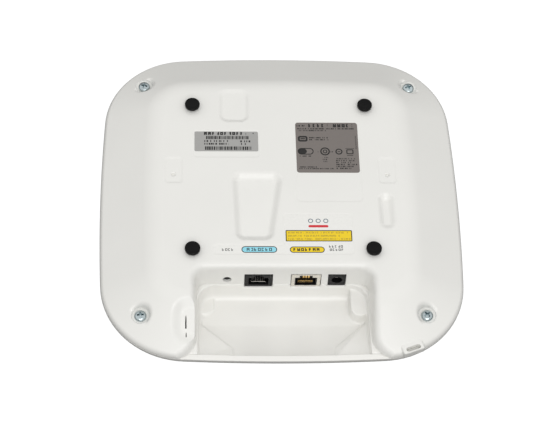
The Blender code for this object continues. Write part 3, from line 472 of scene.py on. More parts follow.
def body_outline(inset, side_steps=16, corner_steps=20):
    side_centre = HALF_SIDE - SIDE_RADIUS
    side, corner = SIDE_RADIUS - inset, CORNER_RADIUS - inset
    quarter = []
    for k in range(side_steps):
        a = -SIDE_HALF_ANGLE + 2 * SIDE_HALF_ANGLE * k / side_steps
        quarter.append((side_centre + side * math.cos(a), side * math.sin(a)))
    for k in range(corner_steps):
        a = SIDE_HALF_ANGLE + (math.pi / 2 - 2 * SIDE_HALF_ANGLE) * k / corner_steps
        quarter.append((CORNER_CENTRE + corner * math.cos(a), CORNER_CENTRE + corner * math.sin(a)))
    outline = []
    for turn in range(4):
        c, s = round(math.cos(turn * math.pi / 2)), round(math.sin(turn * math.pi / 2))
        outline += [(c * x - s * y, s * x + c * y) for x, y in quarter]
    return outline


def scaled_outline(inset, scale):
    return [(x * scale, y * scale) for x, y in body_outline(inset)]


def inset_at(x, y):
    """How far a point lies inside the body outline."""
    u, v = abs(x), abs(y)
    if v > u:
        u, v = v, u
    side_centre = HALF_SIDE - SIDE_RADIUS
    if math.atan2(v, u - side_centre) <= SIDE_HALF_ANGLE:
        return SIDE_RADIUS - math.hypot(u - side_centre, v)
    return CORNER_RADIUS - math.hypot(u - CORNER_CENTRE, v - CORNER_CENTRE)


EDGE_SWEEP = math.atan(1 / SHOULDER_SLOPE)
EDGE_INSET = EDGE_RADIUS * (1 - math.cos(EDGE_SWEEP))
EDGE_TOP_Z = PARTING_Z + EDGE_RADIUS * math.sin(EDGE_SWEEP)
BLEND_Z = -SHOULDER_SLOPE * SHOULDER_BLEND / 2
BLEND_INSET = EDGE_INSET + (BLEND_Z - EDGE_TOP_Z) / SHOULDER_SLOPE
PLATEAU_INSET = BLEND_INSET + SHOULDER_BLEND


def shoulder_height(inset):
    """The shell's height at a distance in from its outline: rounded edge, slope, soft edge, flat top."""
    if inset >= PLATEAU_INSET:
        return 0.0
    if inset >= BLEND_INSET:
        return -SHOULDER_SLOPE * (PLATEAU_INSET - inset) ** 2 / (2 * SHOULDER_BLEND)
    if inset >= EDGE_INSET:
        return EDGE_TOP_Z + SHOULDER_SLOPE * (inset - EDGE_INSET)
    if inset <= 0:
        return PARTING_Z
    return PARTING_Z + math.sqrt(EDGE_RADIUS**2 - (EDGE_RADIUS - inset) ** 2)


def surface_height(x, y):
    return shoulder_height(inset_at(x, y))


def dome_depth(scale):
    """The face's height where the body outline, scaled down, crosses it."""
    return PARTING_Z - 0.6 - (PARTING_Z - 0.6 - FACE_Z) * math.sqrt(max(0.0, 1 - scale**DOME_POWER))


def bay_path(offset, corner_steps=12, end_steps=16, wall_steps=14):
    """The bay's wall line in plan, moved into the body by the offset."""
    run_out = 25.0
    exit_angle = math.pi + LEG_END_SWEEP
    leg_end = (LEG_END_X, LEG_END_Y)
    ends = arc(leg_end, LEG_END_RADIUS - offset, exit_angle, -LEG_END_SWEEP, end_steps)
    tangent = (-math.sin(exit_angle), math.cos(exit_angle))
    first = (ends[0][0] + tangent[0] * run_out, ends[0][1] + tangent[1] * run_out)
    corner_x, corner_y = BAY_HALF_WIDTH - BAY_CORNER, BAY_WALL_Y - BAY_CORNER
    step = (corner_y - LEG_END_Y) / wall_steps
    wall = [(BAY_HALF_WIDTH + offset, LEG_END_Y + step * k) for k in range(1, wall_steps)]
    corner = arc((corner_x, corner_y), BAY_CORNER + offset, 0.0, math.pi / 2, corner_steps)
    right = [first] + ends + wall + corner
    left = [(-x, y) for x, y in reversed(right)]
    return right + left + [(-95.0, -135.0), (95.0, -135.0)]


def tray_path(offset, corner_steps=14, mouth_y=-125.0):
    """The tray's outline in plan, moved outwards by the offset."""
    corner_x, corner_y = BAY_HALF_WIDTH - TRAY_CORNER, BAY_WALL_Y - TRAY_CORNER
    radius = TRAY_CORNER + offset
    right = [(corner_x + radius, mouth_y)]
    right += arc((corner_x, corner_y), radius, 0.0, math.pi / 2, corner_steps)
    return right + [(-x, y) for x, y in reversed(right)]


# ------------ rear shell


def pressed(name, corners, radius, slope_width, depth, steps=8, levels=12):
    """A cutter whose side is an S-curve, so a pressed pad has a soft top and bottom edge."""
    half = slope_width / 2 + 0.7
    rings = [at_height(rounded_polygon(corners, radius, half + 0.4, steps), z) for z in (2.0, 0.015)]
    for k in range(levels + 1):
        t = k / levels
        outline = rounded_polygon(corners, radius, half * (1 - 2 * t), steps)
        rings.append(at_height(outline, -depth * (1 - math.cos(math.pi * t)) / 2))
    return loft(name, rings)


def following(name, path, fillet, floor_z, bottom_offset):
    """A cutter over a closed path, whose rounded top edge follows the shell's height.

    path(offset) gives the path moved outwards.
    """
    levels = [(fillet + 0.15, None), (fillet + 0.15, -0.025)]
    for a in quarter_turn(14):
        levels.append((fillet * (1 - math.sin(a)), fillet * (1 - math.cos(a))))
    rings = []
    for index, (offset, depth) in enumerate(levels):
        limit = floor_z + 0.9 - 0.03 * index
        ring = []
        for x, y in path(offset):
            z = 6.0 if depth is None else max(surface_height(x, y) - depth, limit)
            ring.append((x, y, z))
        rings.append(ring)
    rings.append(at_height(path(bottom_offset * 0.97), floor_z + 0.3))
    rings.append(at_height(path(bottom_offset), floor_z))
    return loft(name, rings)


def pocket_cutter(index, centre):
    """A flat-floored screw pocket with a rim that rolls into the shoulder and a rounded floor edge."""
    fillet, floor_radius, steps = 2.3, 1.2, 56
    levels = []
    for a in quarter_turn(8):
        levels.append((POCKET_RADIUS + fillet * (1 - math.sin(a)), fillet * (1 - math.cos(a)), None))
    for a in quarter_turn(6):
        radius = POCKET_RADIUS - floor_radius * (1 - math.cos(a))
        levels.append((radius, None, floor_radius * (1 - math.sin(a))))
    outer = circle(POCKET_RADIUS + fillet + 0.1, steps, centre)
    rings = [at_height(outer, 4.0)]
    rings.append([(x, y, surface_height(x, y) + 0.02) for x, y in outer])
    for n, (radius, below, above) in enumerate(levels):
        ring = []
        for x, y in circle(radius, steps, centre):
            low = POCKET_FLOOR_Z + floor_radius + 0.4 - 0.02 * n
            z = max(surface_height(x, y) - below, low) if above is None else POCKET_FLOOR_Z + above
            ring.append((x, y, z))
        rings.append(ring)
    return loft(f"pocket_cutter_{index}", rings)


def scoop_cutter():
    """The finger scoop beside the top: its floor slopes down towards the back."""
    low_y, high_y = SCOOP[2:]
    rings = []
    for k in range(-2, 13):
        t = max(k, 0) / 12
        shrink = -0.9 + 5.0 * t
        share = (1 - math.cos(math.pi * t)) / 2
        ring = []
        for x, y in rounded_polygon(rectangle(*SCOOP), 4.6, -shrink, 10):
            deep = 0.9 + 2.4 * (y - low_y) / (high_y - low_y)
            ring.append((x, y, {-2: 2.0, -1: 0.02}.get(k, -share * deep)))
        rings.append(ring)
    return loft("scoop_cutter", rings)


def lock_dish():
    """The shallow dish around the lock slot, on the inner side of the left leg."""
    rings = []
    for k in range(-2, 15):
        t = max(k, 0) / 14
        offset = 7.9 if k < 0 else 7.6 * (1 - t) + 0.2
        drop = {-2: -4.0, -1: -0.03}.get(k, LOCK_DISH_DEPTH * (1 - math.cos(math.pi * t)) / 2)
        outline = rounded_polygon(rectangle(*LOCK_DISH), 3.0, offset, 10)
        rings.append([(x, y, surface_height(x, y) - drop) for x, y in outline])
    return loft("lock_dish", rings)


def hasp_block(name, low, high, soft=0.0):
    """A rounded box in the padlock hasp's own axes: along the rim, into the body, and up."""
    levels = [(low[2], 0.0), (high[2] - soft, 0.0)]
    if soft:
        for a in quarter_turn(6)[1:]:
            levels.append((high[2] - soft * (1 - math.sin(a)), -soft * (1 - math.cos(a))))
    corners = rectangle(low[0], high[0], low[1], high[1])
    rings = [at_height(rounded_polygon(corners, 1.35, offset, 6), z) for z, offset in levels]
    return to_object(name, moved(skin(bmesh.new(), rings), HASP_TURN, "Z", HASP_PLACE))


def shell_cavity():
    """The hollow of the shell, less the walls that stand into it."""
    rings = [
        at_height(body_outline(SHELL_WALL), PARTING_Z - 1.0),
        at_height(body_outline(SHELL_WALL), PARTING_Z + 0.6),
        at_height(body_outline(SHELL_WALL + 1.9), PARTING_Z + 2.3),
        at_height(body_outline(BLEND_INSET), BLEND_Z - SHELL_WALL),
        at_height(body_outline(PLATEAU_INSET), -SHELL_WALL),
    ]
    cavity = loft("shell_cavity", rings)
    cut(cavity, prism("bay_wall_block", bay_path(BAY_WALL), -25, 5))
    cut(cavity, prism("trapezoid_block", rounded_polygon(TRAPEZOID, 4, 1.5), -TRAPEZOID_DEPTH - 2, 1))
    cut(cavity, prism("top_pad_block", rounded_polygon(rectangle(*TOP_PAD), 4, 1.5), -3.6, 1))
    cut(cavity, prism("scoop_block", rounded_polygon(rectangle(*SCOOP), 4, 0.8), -5.2, 1))
    cut(cavity, box("lock_block", (-69, -106, -25), (-50, -77, 1)))
    cut(cavity, hasp_block("hasp_space", (-8, -4, -8), (8, 14, 8)))
    for i, centre in enumerate(COVER_SCREW_XY):
        cut(cavity, prism(f"pocket_block_{i}", circle(8.4, 40, centre), POCKET_FLOOR_Z - 2.6, 1))
    for i, centre in enumerate(PIN_XY):
        cut(cavity, prism(f"pin_block_{i}", circle(4.8, 24, centre), -5.6, 1))
    return baked(cavity)


def shell_levels():
    """Inset and height from the parting line up the rounded edge, the slope and the soft top edge."""
    levels = []
    for k in range(13):
        a = EDGE_SWEEP * k / 12
        levels.append((EDGE_RADIUS * (1 - math.cos(a)), PARTING_Z + EDGE_RADIUS * math.sin(a)))
    for k in range(1, 8):
        inset = EDGE_INSET + (BLEND_INSET - EDGE_INSET) * k / 8
        levels.append((inset, EDGE_TOP_Z + (BLEND_Z - EDGE_TOP_Z) * k / 8))
    for k in range(15):
        inset = BLEND_INSET + SHOULDER_BLEND * k / 14
        levels.append((inset, shoulder_height(inset)))
    return levels


def rear_shell():
    rings = [at_height(body_outline(inset), z) for inset, z in shell_levels()]
    shell = loft("shell_skin", rings, "white_paint")
    cut(shell, shell_cavity())
    cut(shell, following("bay_cutter", bay_path, BAY_FILLET, PARTING_Z - 2.0, -BAY_DRAFT))
    cut(shell, pressed("trapezoid_cutter", TRAPEZOID, 4.2, 4.4, TRAPEZOID_DEPTH, 12, 20))
    cut(shell, pressed("top_pad_cutter", rectangle(*TOP_PAD), 4.6, 2.4, 1.15, 12, 14))
    for side in (-1, 1):
        spot = rectangle(side * 65.5 - 5.1, side * 65.5 + 5.1, 3.1, 21.5)
        cut(shell, pressed(f"spot_cutter_{side}", spot, 2.0, 0.7, 0.4, 8, 8))
        dimple = [(0, -1.5), (1.1, -1.5), (1.15, -0.8), (1.7, -0.45), (1.7, 1), (0, 1)]
        cut(shell, turned(f"dimple_{side}", dimple, 24, (side * 65.6, 9.2, 0)))
    cut(shell, scoop_cutter())
    recesses = {
        "rating_recess": (rectangle(*RATING_RECESS), 2.6),
        "serial_recess": (rectangle(*SERIAL_RECESS), 2.0),
        "port_recess": (PORT_RECESS, 2.0),
    }
    for name, (corners, radius) in recesses.items():
        cut(shell, pressed(name, corners, radius, 0.2, LABEL_RECESS_DEPTH, 8, 8))
    for i, centre in enumerate(COVER_SCREW_XY):
        cut(shell, pocket_cutter(i, centre))
        cut(shell, prism(f"screw_hole_{i}", circle(2.3, 24, centre), -20, -5))
    for i, centre in enumerate(PIN_XY):
        cut(shell, prism(f"pin_hole_{i}", circle(2.15, 24, centre), -5.0, 2))
    for name, port in PORTS.items():
        cut(shell, box(f"{name}_opening", (port[0], -64, port[2]), (port[1], -48, port[3])))
    hole = [(0, 0.0), (MODE_HOLE_RADIUS, 0.0), (MODE_HOLE_RADIUS, 16.0), (0, 16.0)]
    cut(shell, turned("mode_opening", hole, 40, (MODE_X, -64, MODE_Z), axis="Y"))
    cut(shell, lock_dish())
    cut(shell, box("lock_slot", (-58.3, -92.9, -20.0), (-57.5, -86.0, 0.0)))
    cut(shell, box("lock_notch", (-58.0, -97.6, -20.0), (-57.4, -94.9, 0.0)))
    join(shell, hasp_block("hasp_tab", (-6.8, -1.9, -3.2), (6.8, 5.0, 1.2), 1.1))
    cut(shell, hasp_block("hasp_slot", (-4.5, -1.15, -2.6), (4.5, 1.75, 9.0)))
    place(smooth(baked(shell)), "white_paint", "rear_shell")


# ------------ bay liner and front cover

TRAY_CUT_Z = -36.0
TRAY_FLOOR_FILLET = 4.0

def lamp_outline(offset, steps):
    lens = rectangle(-LAMP_HALF_LENGTH, LAMP_HALF_LENGTH, -LAMP_HALF_WIDTH, LAMP_HALF_WIDTH)
    return rounded_polygon(lens, LAMP_HALF_WIDTH - 0.05, offset, steps)


def face_space(name, clearance):
    """The space inside the face's wall, with a clearance to it."""
    inset = RIM_WIDTH + clearance
    rings = [at_height(body_outline(inset), PARTING_Z + 8)]
    for scale in (1.0, 0.985, 0.955, 0.91, 0.84, 0.74, 0.6, 0.4):
        rings.append(at_height(scaled_outline(inset, scale), dome_depth(scale) + 2.5 + clearance))
    return loft(name, rings)


def ramp():
    """The tray's floor, rising in a curve towards its mouth."""
    low_y, high_y, steps = -75.0, -107.2, 30
    section = []
    for k in range(steps + 1):
        share = k / steps
        section.append((low_y + (high_y - low_y) * share, BAY_FLOOR_Z - 0.4 + 10.7 * share**1.7))
    section += [(high_y, TRAY_CUT_Z), (low_y, TRAY_CUT_Z)]
    half = BAY_HALF_WIDTH - 0.8
    return loft("bay_ramp", [[(x, y, z) for y, z in section] for x in (-half, half)])


def corner_facet(side):
    """The raised corner of the tray's floor, left or right of its mouth."""
    heights = [BAY_FLOOR_Z + 1.2, BAY_FLOOR_Z + 6.4, BAY_FLOOR_Z + 11.6, BAY_FLOOR_Z + 11.0]
    corners = [(-51.7, -76.5), (-30.4, -98.0), (-30.4, -107.2), (-51.7, -107.2)]
    outline = [(side * -x, y) for x, y in corners]
    tops = [(x, y, z) for (x, y), z in zip(outline, heights)]
    return loft(f"bay_facet_{side}", [at_height(outline, TRAY_CUT_Z), tops])


def tray_boss(centre_x, radius, centre_y):
    """A post's outline: round towards the mouth and straight back to the bay's wall."""
    front = arc((centre_x, centre_y), radius, math.pi, math.pi, 24)
    return front + [(centre_x + radius, -57.8), (centre_x - radius, -57.8)]


def bay_liner():
    outline = tray_path(1.6, mouth_y=-107.3)
    outer = prism("tray", outline, BAY_FLOOR_Z - 2, PARTING_Z + 0.25, "white_plastic")
    join(outer, box("liner_flange", (-67, -107.3, PARTING_Z - 2.3), (67, -94, PARTING_Z - 0.05)))
    rings = [
        at_height(tray_path(-BAY_DRAFT - 0.2), PARTING_Z + 3),
        at_height(tray_path(-BAY_DRAFT - 0.15), PARTING_Z - GAP),
        at_height(tray_path(-BAY_DRAFT - 0.8), BAY_FLOOR_Z + TRAY_FLOOR_FILLET),
    ]
    for a in quarter_turn(8)[1:]:
        inner = tray_path(-BAY_DRAFT - 0.8 - 3.8 * (1 - math.cos(a)))
        rings.append(at_height(inner, BAY_FLOOR_Z + TRAY_FLOOR_FILLET * (1 - math.sin(a))))
    cut(outer, loft("tray_cutter", rings))
    join(outer, ramp(), corner_facet(-1), corner_facet(1))
    join(outer, prism("right_boss", tray_boss(46.3, 5.6, -72.2), BAY_FLOOR_Z - 1, -22.0))
    join(outer, prism("left_boss", tray_boss(-46.6, 5.4, -66.5), BAY_FLOOR_Z - 1, BAY_FLOOR_Z + 1.3))
    modify(outer, face_space("liner_space", 0.03), "INTERSECT")
    for name, port in PORTS.items():
        cut(outer, box(f"{name}_notch", (port[0], -60.4, port[2]), (port[1], -50, PARTING_Z + 2)))
    baked(outer)
    remesh = outer.modifiers.new("remesh", "REMESH")
    remesh.mode = "VOXEL"
    remesh.voxel_size = 0.55 * MM
    soften = outer.modifiers.new("soften", "SMOOTH")
    soften.factor = 0.5
    soften.iterations = 9
    baked(outer)
    outer.data.materials.clear()
    outer.data.materials.append(MATERIALS["white_plastic"])
    place(smooth(outer, 60.0, False), "white_plastic", "bay_liner")


def front_cover():
    edge = [(RIM_WIDTH - 0.2, GAP), (0.35, GAP), (0.1, GAP + 0.12)]
    rings = [at_height(body_outline(inset), PARTING_Z - drop) for inset, drop in edge]
    for a in quarter_turn(34):
        scale = max(1 - math.sin(a) ** 2, 0.0) ** (1 / DOME_POWER)
        if scale < 0.2:
            break
        rings.append(at_height(scaled_outline(0, scale), dome_depth(scale)))
    rings.append(at_height(scaled_outline(0, 0.1), FACE_Z))
    cover = loft("face_cover", rings, "white_plastic")
    hollow = face_space("cover_space", 0.0)
    for i, centre in enumerate(COVER_SCREW_XY):
        cut(hollow, prism(f"cover_boss_{i}", circle(5.2, 28, centre), -45, 0))
    for i, centre in enumerate(ANTENNA_XY):
        seat = circle(ANTENNA_SEAT_RADIUS + 1.6, 40, centre)
        cut(hollow, prism(f"antenna_boss_{i}", seat, -45, ANTENNA_SEAT_Z + 2.6))
    cut(cover, baked(hollow))
    for i, centre in enumerate(COVER_SCREW_XY):
        join(cover, prism(f"boss_top_{i}", circle(5.2, 28, centre), -24, POCKET_FLOOR_Z - 2.6 - GAP))
        cut(cover, prism(f"insert_hole_{i}", circle(3.1, 24, centre), -27.5, 0))
    radius, top = ANTENNA_SEAT_RADIUS, ANTENNA_SEAT_Z
    seat = [(0, -50), (radius, -50), (radius, top - 0.6), (radius - 0.6, top), (0, top)]
    for i, centre in enumerate(ANTENNA_XY):
        cut(cover, turned(f"seat_cutter_{i}", seat, 64, (*centre, 0)))
        cut(cover, prism(f"antenna_hole_{i}", circle(5.9, 40, centre), -50, -20))
    cut(cover, prism("lamp_slot", lamp_outline(0.2, 8), -50, -30))
    place(smooth(baked(cover)), "white_plastic", "front_cover")


# ------------ screws, pins, jacks

WIRE_RADIUS = 0.19
WIRE_PITCH = 1.02

def cover_screw(index, centre):
    """A zinc-plated pan-head screw with a cross recess and a threaded shank."""
    base = POCKET_FLOOR_Z + 0.1
    thread = []
    for k in range(14):
        z = -25.2 + 0.85 * k
        thread += [(1.55, z), (1.82, z + 0.35), (1.82, z + 0.45)]
    head = [(1.8, base), (3.55, base), (3.6, base + 0.06), (3.6, base + 0.85)]
    crown = [(3.6 * math.cos(t), base + 0.85 + 1.55 * math.sin(t)) for t in quarter_turn(10)[1:-1]]
    profile = [(0, -26.0), (1.2, -26.0)] + thread + head + crown + [(0, base + 2.4)]
    screw = turned(f"pan_screw_{index}", profile, 48, (*centre, 0), "zinc_steel")
    turn = math.radians((20, 75, 5, 40)[index - 1])
    slot_floor = at_height(rectangle(-0.95, 0.95, -0.38, 0.38), base + 0.5)
    slot_top = at_height(rectangle(-2.35, 2.35, -0.62, 0.62), base + 2.6)
    for k in (0, 1):
        slot = skin(bmesh.new(), [slot_floor, slot_top])
        moved(slot, turn + k * math.pi / 2, "Z", (*centre, 0))
        cut(screw, to_object(f"cross_{index}_{k}", slot))
    core = [(0, base + 0.4), (0.7, base + 0.5), (1.25, base + 2.7), (0, base + 2.7)]
    cut(screw, turned(f"cross_core_{index}", core, 24, (*centre, 0)))
    place(smooth(baked(screw), 35.0), "zinc_steel", f"cover_screw_{index}")


def pin_cap(index, centre):
    """A black cap over the bracket pin, with a rounded rim, a shallow dished top and an undercut skirt."""
    profile = [(0, 2.8), (3.75, 2.8), (3.75, 1.7), (3.0, 1.7), (3.0, 1.42), (3.02, 1.4), (4.3, 1.4)]
    profile += arc((4.35, 1.7), 0.3, math.radians(-80), math.radians(80), 4)
    profile += arc((4.05, PIN_TOP_Z - 0.6), 0.6, 0.0, math.pi / 2, 8)
    dish = [(3.3, 0.0), (3.1, 0.08), (2.9, 0.22), (1.2, 0.26), (0, 0.27)]
    profile += [(radius, PIN_TOP_Z - drop) for radius, drop in dish]
    cap = turned(f"black_cap_{index}", profile, 64, (*centre, 0), "black_rubber")
    place(smooth(cap, 50.0), "black_rubber", f"pin_cap_{index}")


def contact_wires(node, slot):
    """Eight plated spring wires, each rising inwards from its hinge bar and bending level at its tip."""
    low, high = box_mm(node)
    centre_x = (low.x + high.x) / 2
    pivot = Vector((0, low.y + 0.5, low.z + 0.35))
    curve = bpy.data.curves.new(f"{node}_wires", "CURVE")
    curve.dimensions = "3D"
    curve.bevel_depth = WIRE_RADIUS * MM
    curve.bevel_resolution = 3
    curve.use_fill_caps = True
    for i in range(8):
        x = centre_x + (i - 3.5) * WIRE_PITCH
        route = [(-0.2, -0.05), (0.1, 0.0), (0.7, 0.2), (4.0, 1.58), (6.9, 2.62), (7.8, 2.78), (8.9, 2.74)]
        spline = curve.splines.new("POLY")
        spline.points.add(len(route) - 1)
        for point, (y, z) in zip(spline.points, route):
            point.co = (x * MM, (pivot.y + y) * MM, (pivot.z + z) * MM, 1.0)
    for x in (-1, 1):
        spline = curve.splines.new("POLY")
        spline.points.add(1)
        for point, end in zip(spline.points, (0.0, 4.4)):
            point.co = ((centre_x + x * end) * MM, pivot.y * MM, pivot.z * MM, 1.0)
    curve.materials.append(MATERIALS[slot])
    place(linked(f"{node}_wires", curve), slot, node, body=node)


def mode_button():
    """The button's domed black face, just inside its hole, and its stem."""
    face, back, radius = -57.1, MODE_HIGH.y, 2.2
    profile = [(radius * math.sin(a), face + radius * 0.28 * (1 - math.cos(a))) for a in quarter_turn(10)]
    profile += [(radius, face + 1.6), (1.9, face + 1.8), (1.55, face + 1.9)]
    profile += [(1.55, back - 0.2), (1.35, back), (0, back)]
    button = turned("mode_plunger", profile, 48, (MODE_X, 0, MODE_Z), "black_plastic", axis="Y")
    place(smooth(button, 35.0), "black_plastic", "mode_button", body="mode_button")


def power_pin():
    """The power jack's centre pin, with a rounded tip and a split along it."""
    low, high = box_mm("power_jack_pin")
    x, z = (low.x + high.x) / 2, (low.z + high.z) / 2
    tip, back, radius = low.y - 0.6, high.y, (high.x - low.x) / 2
    profile = [(radius * math.sin(a), tip + radius * (1 - math.cos(a))) for a in quarter_turn(10)]
    profile += [(radius, back - 0.15), (radius - 0.15, back), (0, back)]
    pin = turned("centre_pin", profile, 40, (x, 0, z), "nickel", axis="Y")
    cut(pin, box("pin_split", (x - 0.16, tip - 1, z - 2), (x + 0.16, tip + 3.5, z + 2)))
    place(smooth(baked(pin), 35.0), "nickel", "power_jack_pin")


def latch_springs():
    """Three gold spring tongues of the shielded jack, standing in the latch notch."""
    low, high = box_mm("ethernet_jack_shield")
    centre = (low.x + high.x) / 2
    section = [
        (0.1, 0.3), (0.1, 3.1), (0.5, 3.6), (1.4, 3.4),
        (1.4, 3.1), (0.7, 3.2), (0.45, 2.9), (0.45, 0.3),
    ]
    tongues = bmesh.new()
    for k in (-1, 0, 1):
        x = centre + 1.55 * k
        skin(tongues, [[(x + dx, low.y + y, high.z - z) for y, z in section] for dx in (-0.45, 0.45)])
    place(to_object("latch_springs", tongues, "gold"), "gold")


def antenna_jack(index, centre):
    """A threaded bulkhead coaxial jack with its hexagonal flange inside the cover."""
    seat_inside = ANTENNA_SEAT_Z + 2.6
    pitch, top, tip, base = 0.8, JACK_TIP_Z + 0.5, JACK_TIP_Z, -27.2
    barrel = [(0, -20.5), (2.6, -20.5), (2.6, -27.0), (5.08, -27.0)]
    for k in range(int((base - top) / pitch)):
        z = base - pitch * k
        barrel += [(5.08, z - 0.1), (5.5, z - 0.36), (5.5, z - 0.44), (5.08, z - 0.7)]
    barrel += [(5.05, top), (5.05, tip + 0.25), (4.85, tip), (4.45, tip), (4.3, tip + 0.2)]
    barrel += [(4.3, -33.0), (0, -33.0)]
    jack = turned(f"coax_jack_{index}", barrel, 48, (*centre, 0), "nickel")
    hexagon = circle(ANTENNA_HEX_RADIUS, 6, centre)
    join(jack, prism(f"flange_{index}", hexagon, seat_inside + 0.1, seat_inside + 2.1))
    cut(jack, prism(f"core_seat_{index}", circle(1.7, 24, centre), -36.0, -30.0))
    place(smooth(baked(jack), 40.0), "nickel", f"antenna_jack_{index}")
    seat = ANTENNA_SEAT_Z
    nut = prism(f"hex_nut_{index}", hexagon, seat - 2.6, seat - 0.1, "nickel")
    dome = [(0, seat + 1), (8.6, seat + 1), (8.6, seat - 2.0), (7.0, seat - 2.75), (0, seat - 2.75)]
    modify(nut, turned(f"nut_round_{index}", dome, 64, (*centre, 0)), "INTERSECT")
    cut(nut, prism(f"nut_bore_{index}", circle(5.75, 40, centre), -50, -20))
    place(smooth(baked(nut), 30.0), "nickel", f"antenna_nut_{index}")


# ------------ prints on the labels

PRINT_LOW_Z = -0.119
PRINT_THICKNESS = 0.02

class Print:
    """One colour of ink: thin flat shapes on a label, joined into one mesh."""

    def __init__(self, name, ink, slot, layer=0):
        self.name, self.ink, self.slot = name, ink, slot
        self.bm = bmesh.new()
        self.low = PRINT_LOW_Z + 0.021 * layer
        self.high = self.low + PRINT_THICKNESS

    def shape(self, outline):
        skin(self.bm, [at_height(outline, self.low), at_height(outline, self.high)])

    def bar(self, low_x, high_x, low_y, high_y):
        self.shape(rectangle(low_x, high_x, low_y, high_y))

    def rounded(self, low_x, high_x, low_y, high_y, radius):
        self.shape(rounded_polygon(rectangle(low_x, high_x, low_y, high_y), radius, 0, 10))

    def frame(self, low_x, high_x, low_y, high_y, radius, width):
        """A closed outline, made of two halves so that each is one simple polygon."""
        corners = rectangle(low_x, high_x, low_y, high_y)
        outer = rounded_polygon(corners, radius, 0, 10)
        inner = rounded_polygon(corners, radius, -width, 10)
        half = len(outer) // 2
        self.shape(outer[: half + 1] + list(reversed(inner[: half + 1])))
        self.shape(outer[half:] + [outer[0]] + [inner[0]] + list(reversed(inner[half:])))

    def signs(self, low_x, high_x, y, height, seed, weight=0.34, width=0.74, gaps=0.12):
        """A row of made-up signs, each of two to four strokes, standing for a line of print."""
        dice = random.Random(seed)
        x, line, wide = low_x, height * weight, height * width
        while x + wide <= high_x + 0.01:
            if dice.random() < gaps and x > low_x:
                x += wide * 0.9
                continue
            if dice.random() < 0.85:
                self.bar(x, x + line, y, y + height)
            if dice.random() < 0.5:
                self.bar(x + wide - line, x + wide, y, y + height)
            for level in dice.sample((0.0, 0.5, 1.0), 2):
                low = y + level * (height - line)
                self.bar(x + line * 1.02, x + wide - line * 1.02, low, low + line)
            x += wide * 1.36

    def signs_up(self, x, low_y, high_y, height, seed):
        """The same kind of row, running up the label."""
        dice = random.Random(seed)
        y, line, wide = low_y, height * 0.2, height * 0.6
        while y + wide <= high_y:
            self.bar(x, x + height, y, y + line)
            low_x, high_x = x + dice.choice((0, 0.5)) * height, x + dice.choice((0.7, 1.0)) * height
            self.bar(low_x, high_x, y + wide - line, y + wide)
            y += wide * 1.4

    def stripes(self, low_x, high_x, low_y, high_y, seed):
        """A row of upright stripes of uneven width."""
        dice = random.Random(seed)
        x = low_x
        while x < high_x:
            wide = dice.choice((0.3, 0.45, 0.7, 0.9))
            self.bar(x, min(x + wide, high_x + 0.1), low_y, high_y)
            x += wide + dice.choice((0.22, 0.3, 0.45))

    def done(self):
        place(to_object(self.name, self.bm, self.ink), self.slot)


def serial_prints():
    """The silver label: lines of signs and two rows of stripes."""
    serial = Print("serial_print", "ink_black", "black_plastic")
    serial.signs(-46.8, -18.0, 38.7, 2.3, 3, 0.34, 0.8)
    serial.signs(-16.6, -13.9, 39.6, 0.8, 4)
    serial.stripes(-45.5, -19.2, 35.5, 37.9, 11)
    serial.signs(-46.6, -31.0, 33.4, 1.35, 5, 0.42)
    serial.signs(-24.4, -17.4, 33.2, 1.4, 6, 0.4)
    serial.signs(-46.6, -29.0, 31.3, 1.35, 7, 0.42)
    serial.signs(-24.4, -20.2, 31.2, 1.4, 8, 0.4)
    serial.stripes(-46.2, -17.7, 27.4, 30.0, 12)
    serial.done()


def rating_prints():
    """The dark label: lines of signs around empty frames and rings."""
    dark = Print("rating_print", "ink_black", "black_plastic")
    dark.signs(10.9, 17.2, 45.4, 1.2, 20)
    dark.signs(18.2, 48.0, 44.9, 2.5, 21, 0.34, 0.8)
    dark.signs(11.3, 47.2, 43.3, 0.95, 22, 0.4)
    dark.signs(11.3, 30.0, 41.9, 0.95, 23, 0.4)
    dark.frame(11.4, 17.4, 33.9, 38.2, 1.4, 1.2)
    dark.bar(13.0, 15.8, 35.7, 36.5)
    for row in range(2):
        dark.signs(18.4, 30.6, 34.9 + 1.5 * row, 0.95, 30 + row, 0.4)
    dark.frame(11.0, 20.8, 24.1, 29.0, 2.4, 0.6)
    dark.rounded(11.5, 16.6, 24.6, 28.5, 1.9)
    dark.signs(12.2, 19.6, 22.5, 0.85, 33, 0.4)
    dark.frame(24.9, 30.9, 23.5, 29.5, 2.95, 0.85)
    dark.frame(26.5, 29.3, 25.1, 27.9, 1.35, 0.6)
    dark.signs(23.4, 24.6, 25.8, 0.8, 34)
    dark.signs(31.3, 33.2, 25.8, 0.8, 35)
    dark.frame(34.3, 38.7, 24.2, 28.6, 2.15, 0.75)
    dark.bar(35.7, 37.3, 26.1, 26.6)
    dark.frame(41.1, 45.5, 24.5, 28.1, 0.7, 0.65)
    dark.bar(40.6, 46.0, 28.6, 28.9)
    dark.bar(41.4, 45.2, 23.4, 23.8)
    for row in range(3):
        side = 0.4 * row
        dark.signs(25.9 + side, 30.4 - side, 21.5 - 1.5 * row, 0.9, 36 + row, 0.4)
    for row in range(6):
        dark.signs(34.5, 47.6 - 1.6 * (row % 3), 20.6 - 1.45 * row, 0.95, 40 + row, 0.4)
    dark.signs(11.6, 23.0, 14.4, 0.8, 55, 0.4)
    dark.signs(11.6, 33.4, 13.2, 0.8, 56, 0.4)
    dark.signs_up(46.9, 28.4, 38.8, 0.75, 57)
    dark.done()


def round_bar(name, ink, *sizes):
    """One round-ended bar on the port label."""
    bar = Print(name, ink, "white_label")
    bar.rounded(*sizes)
    bar.done()


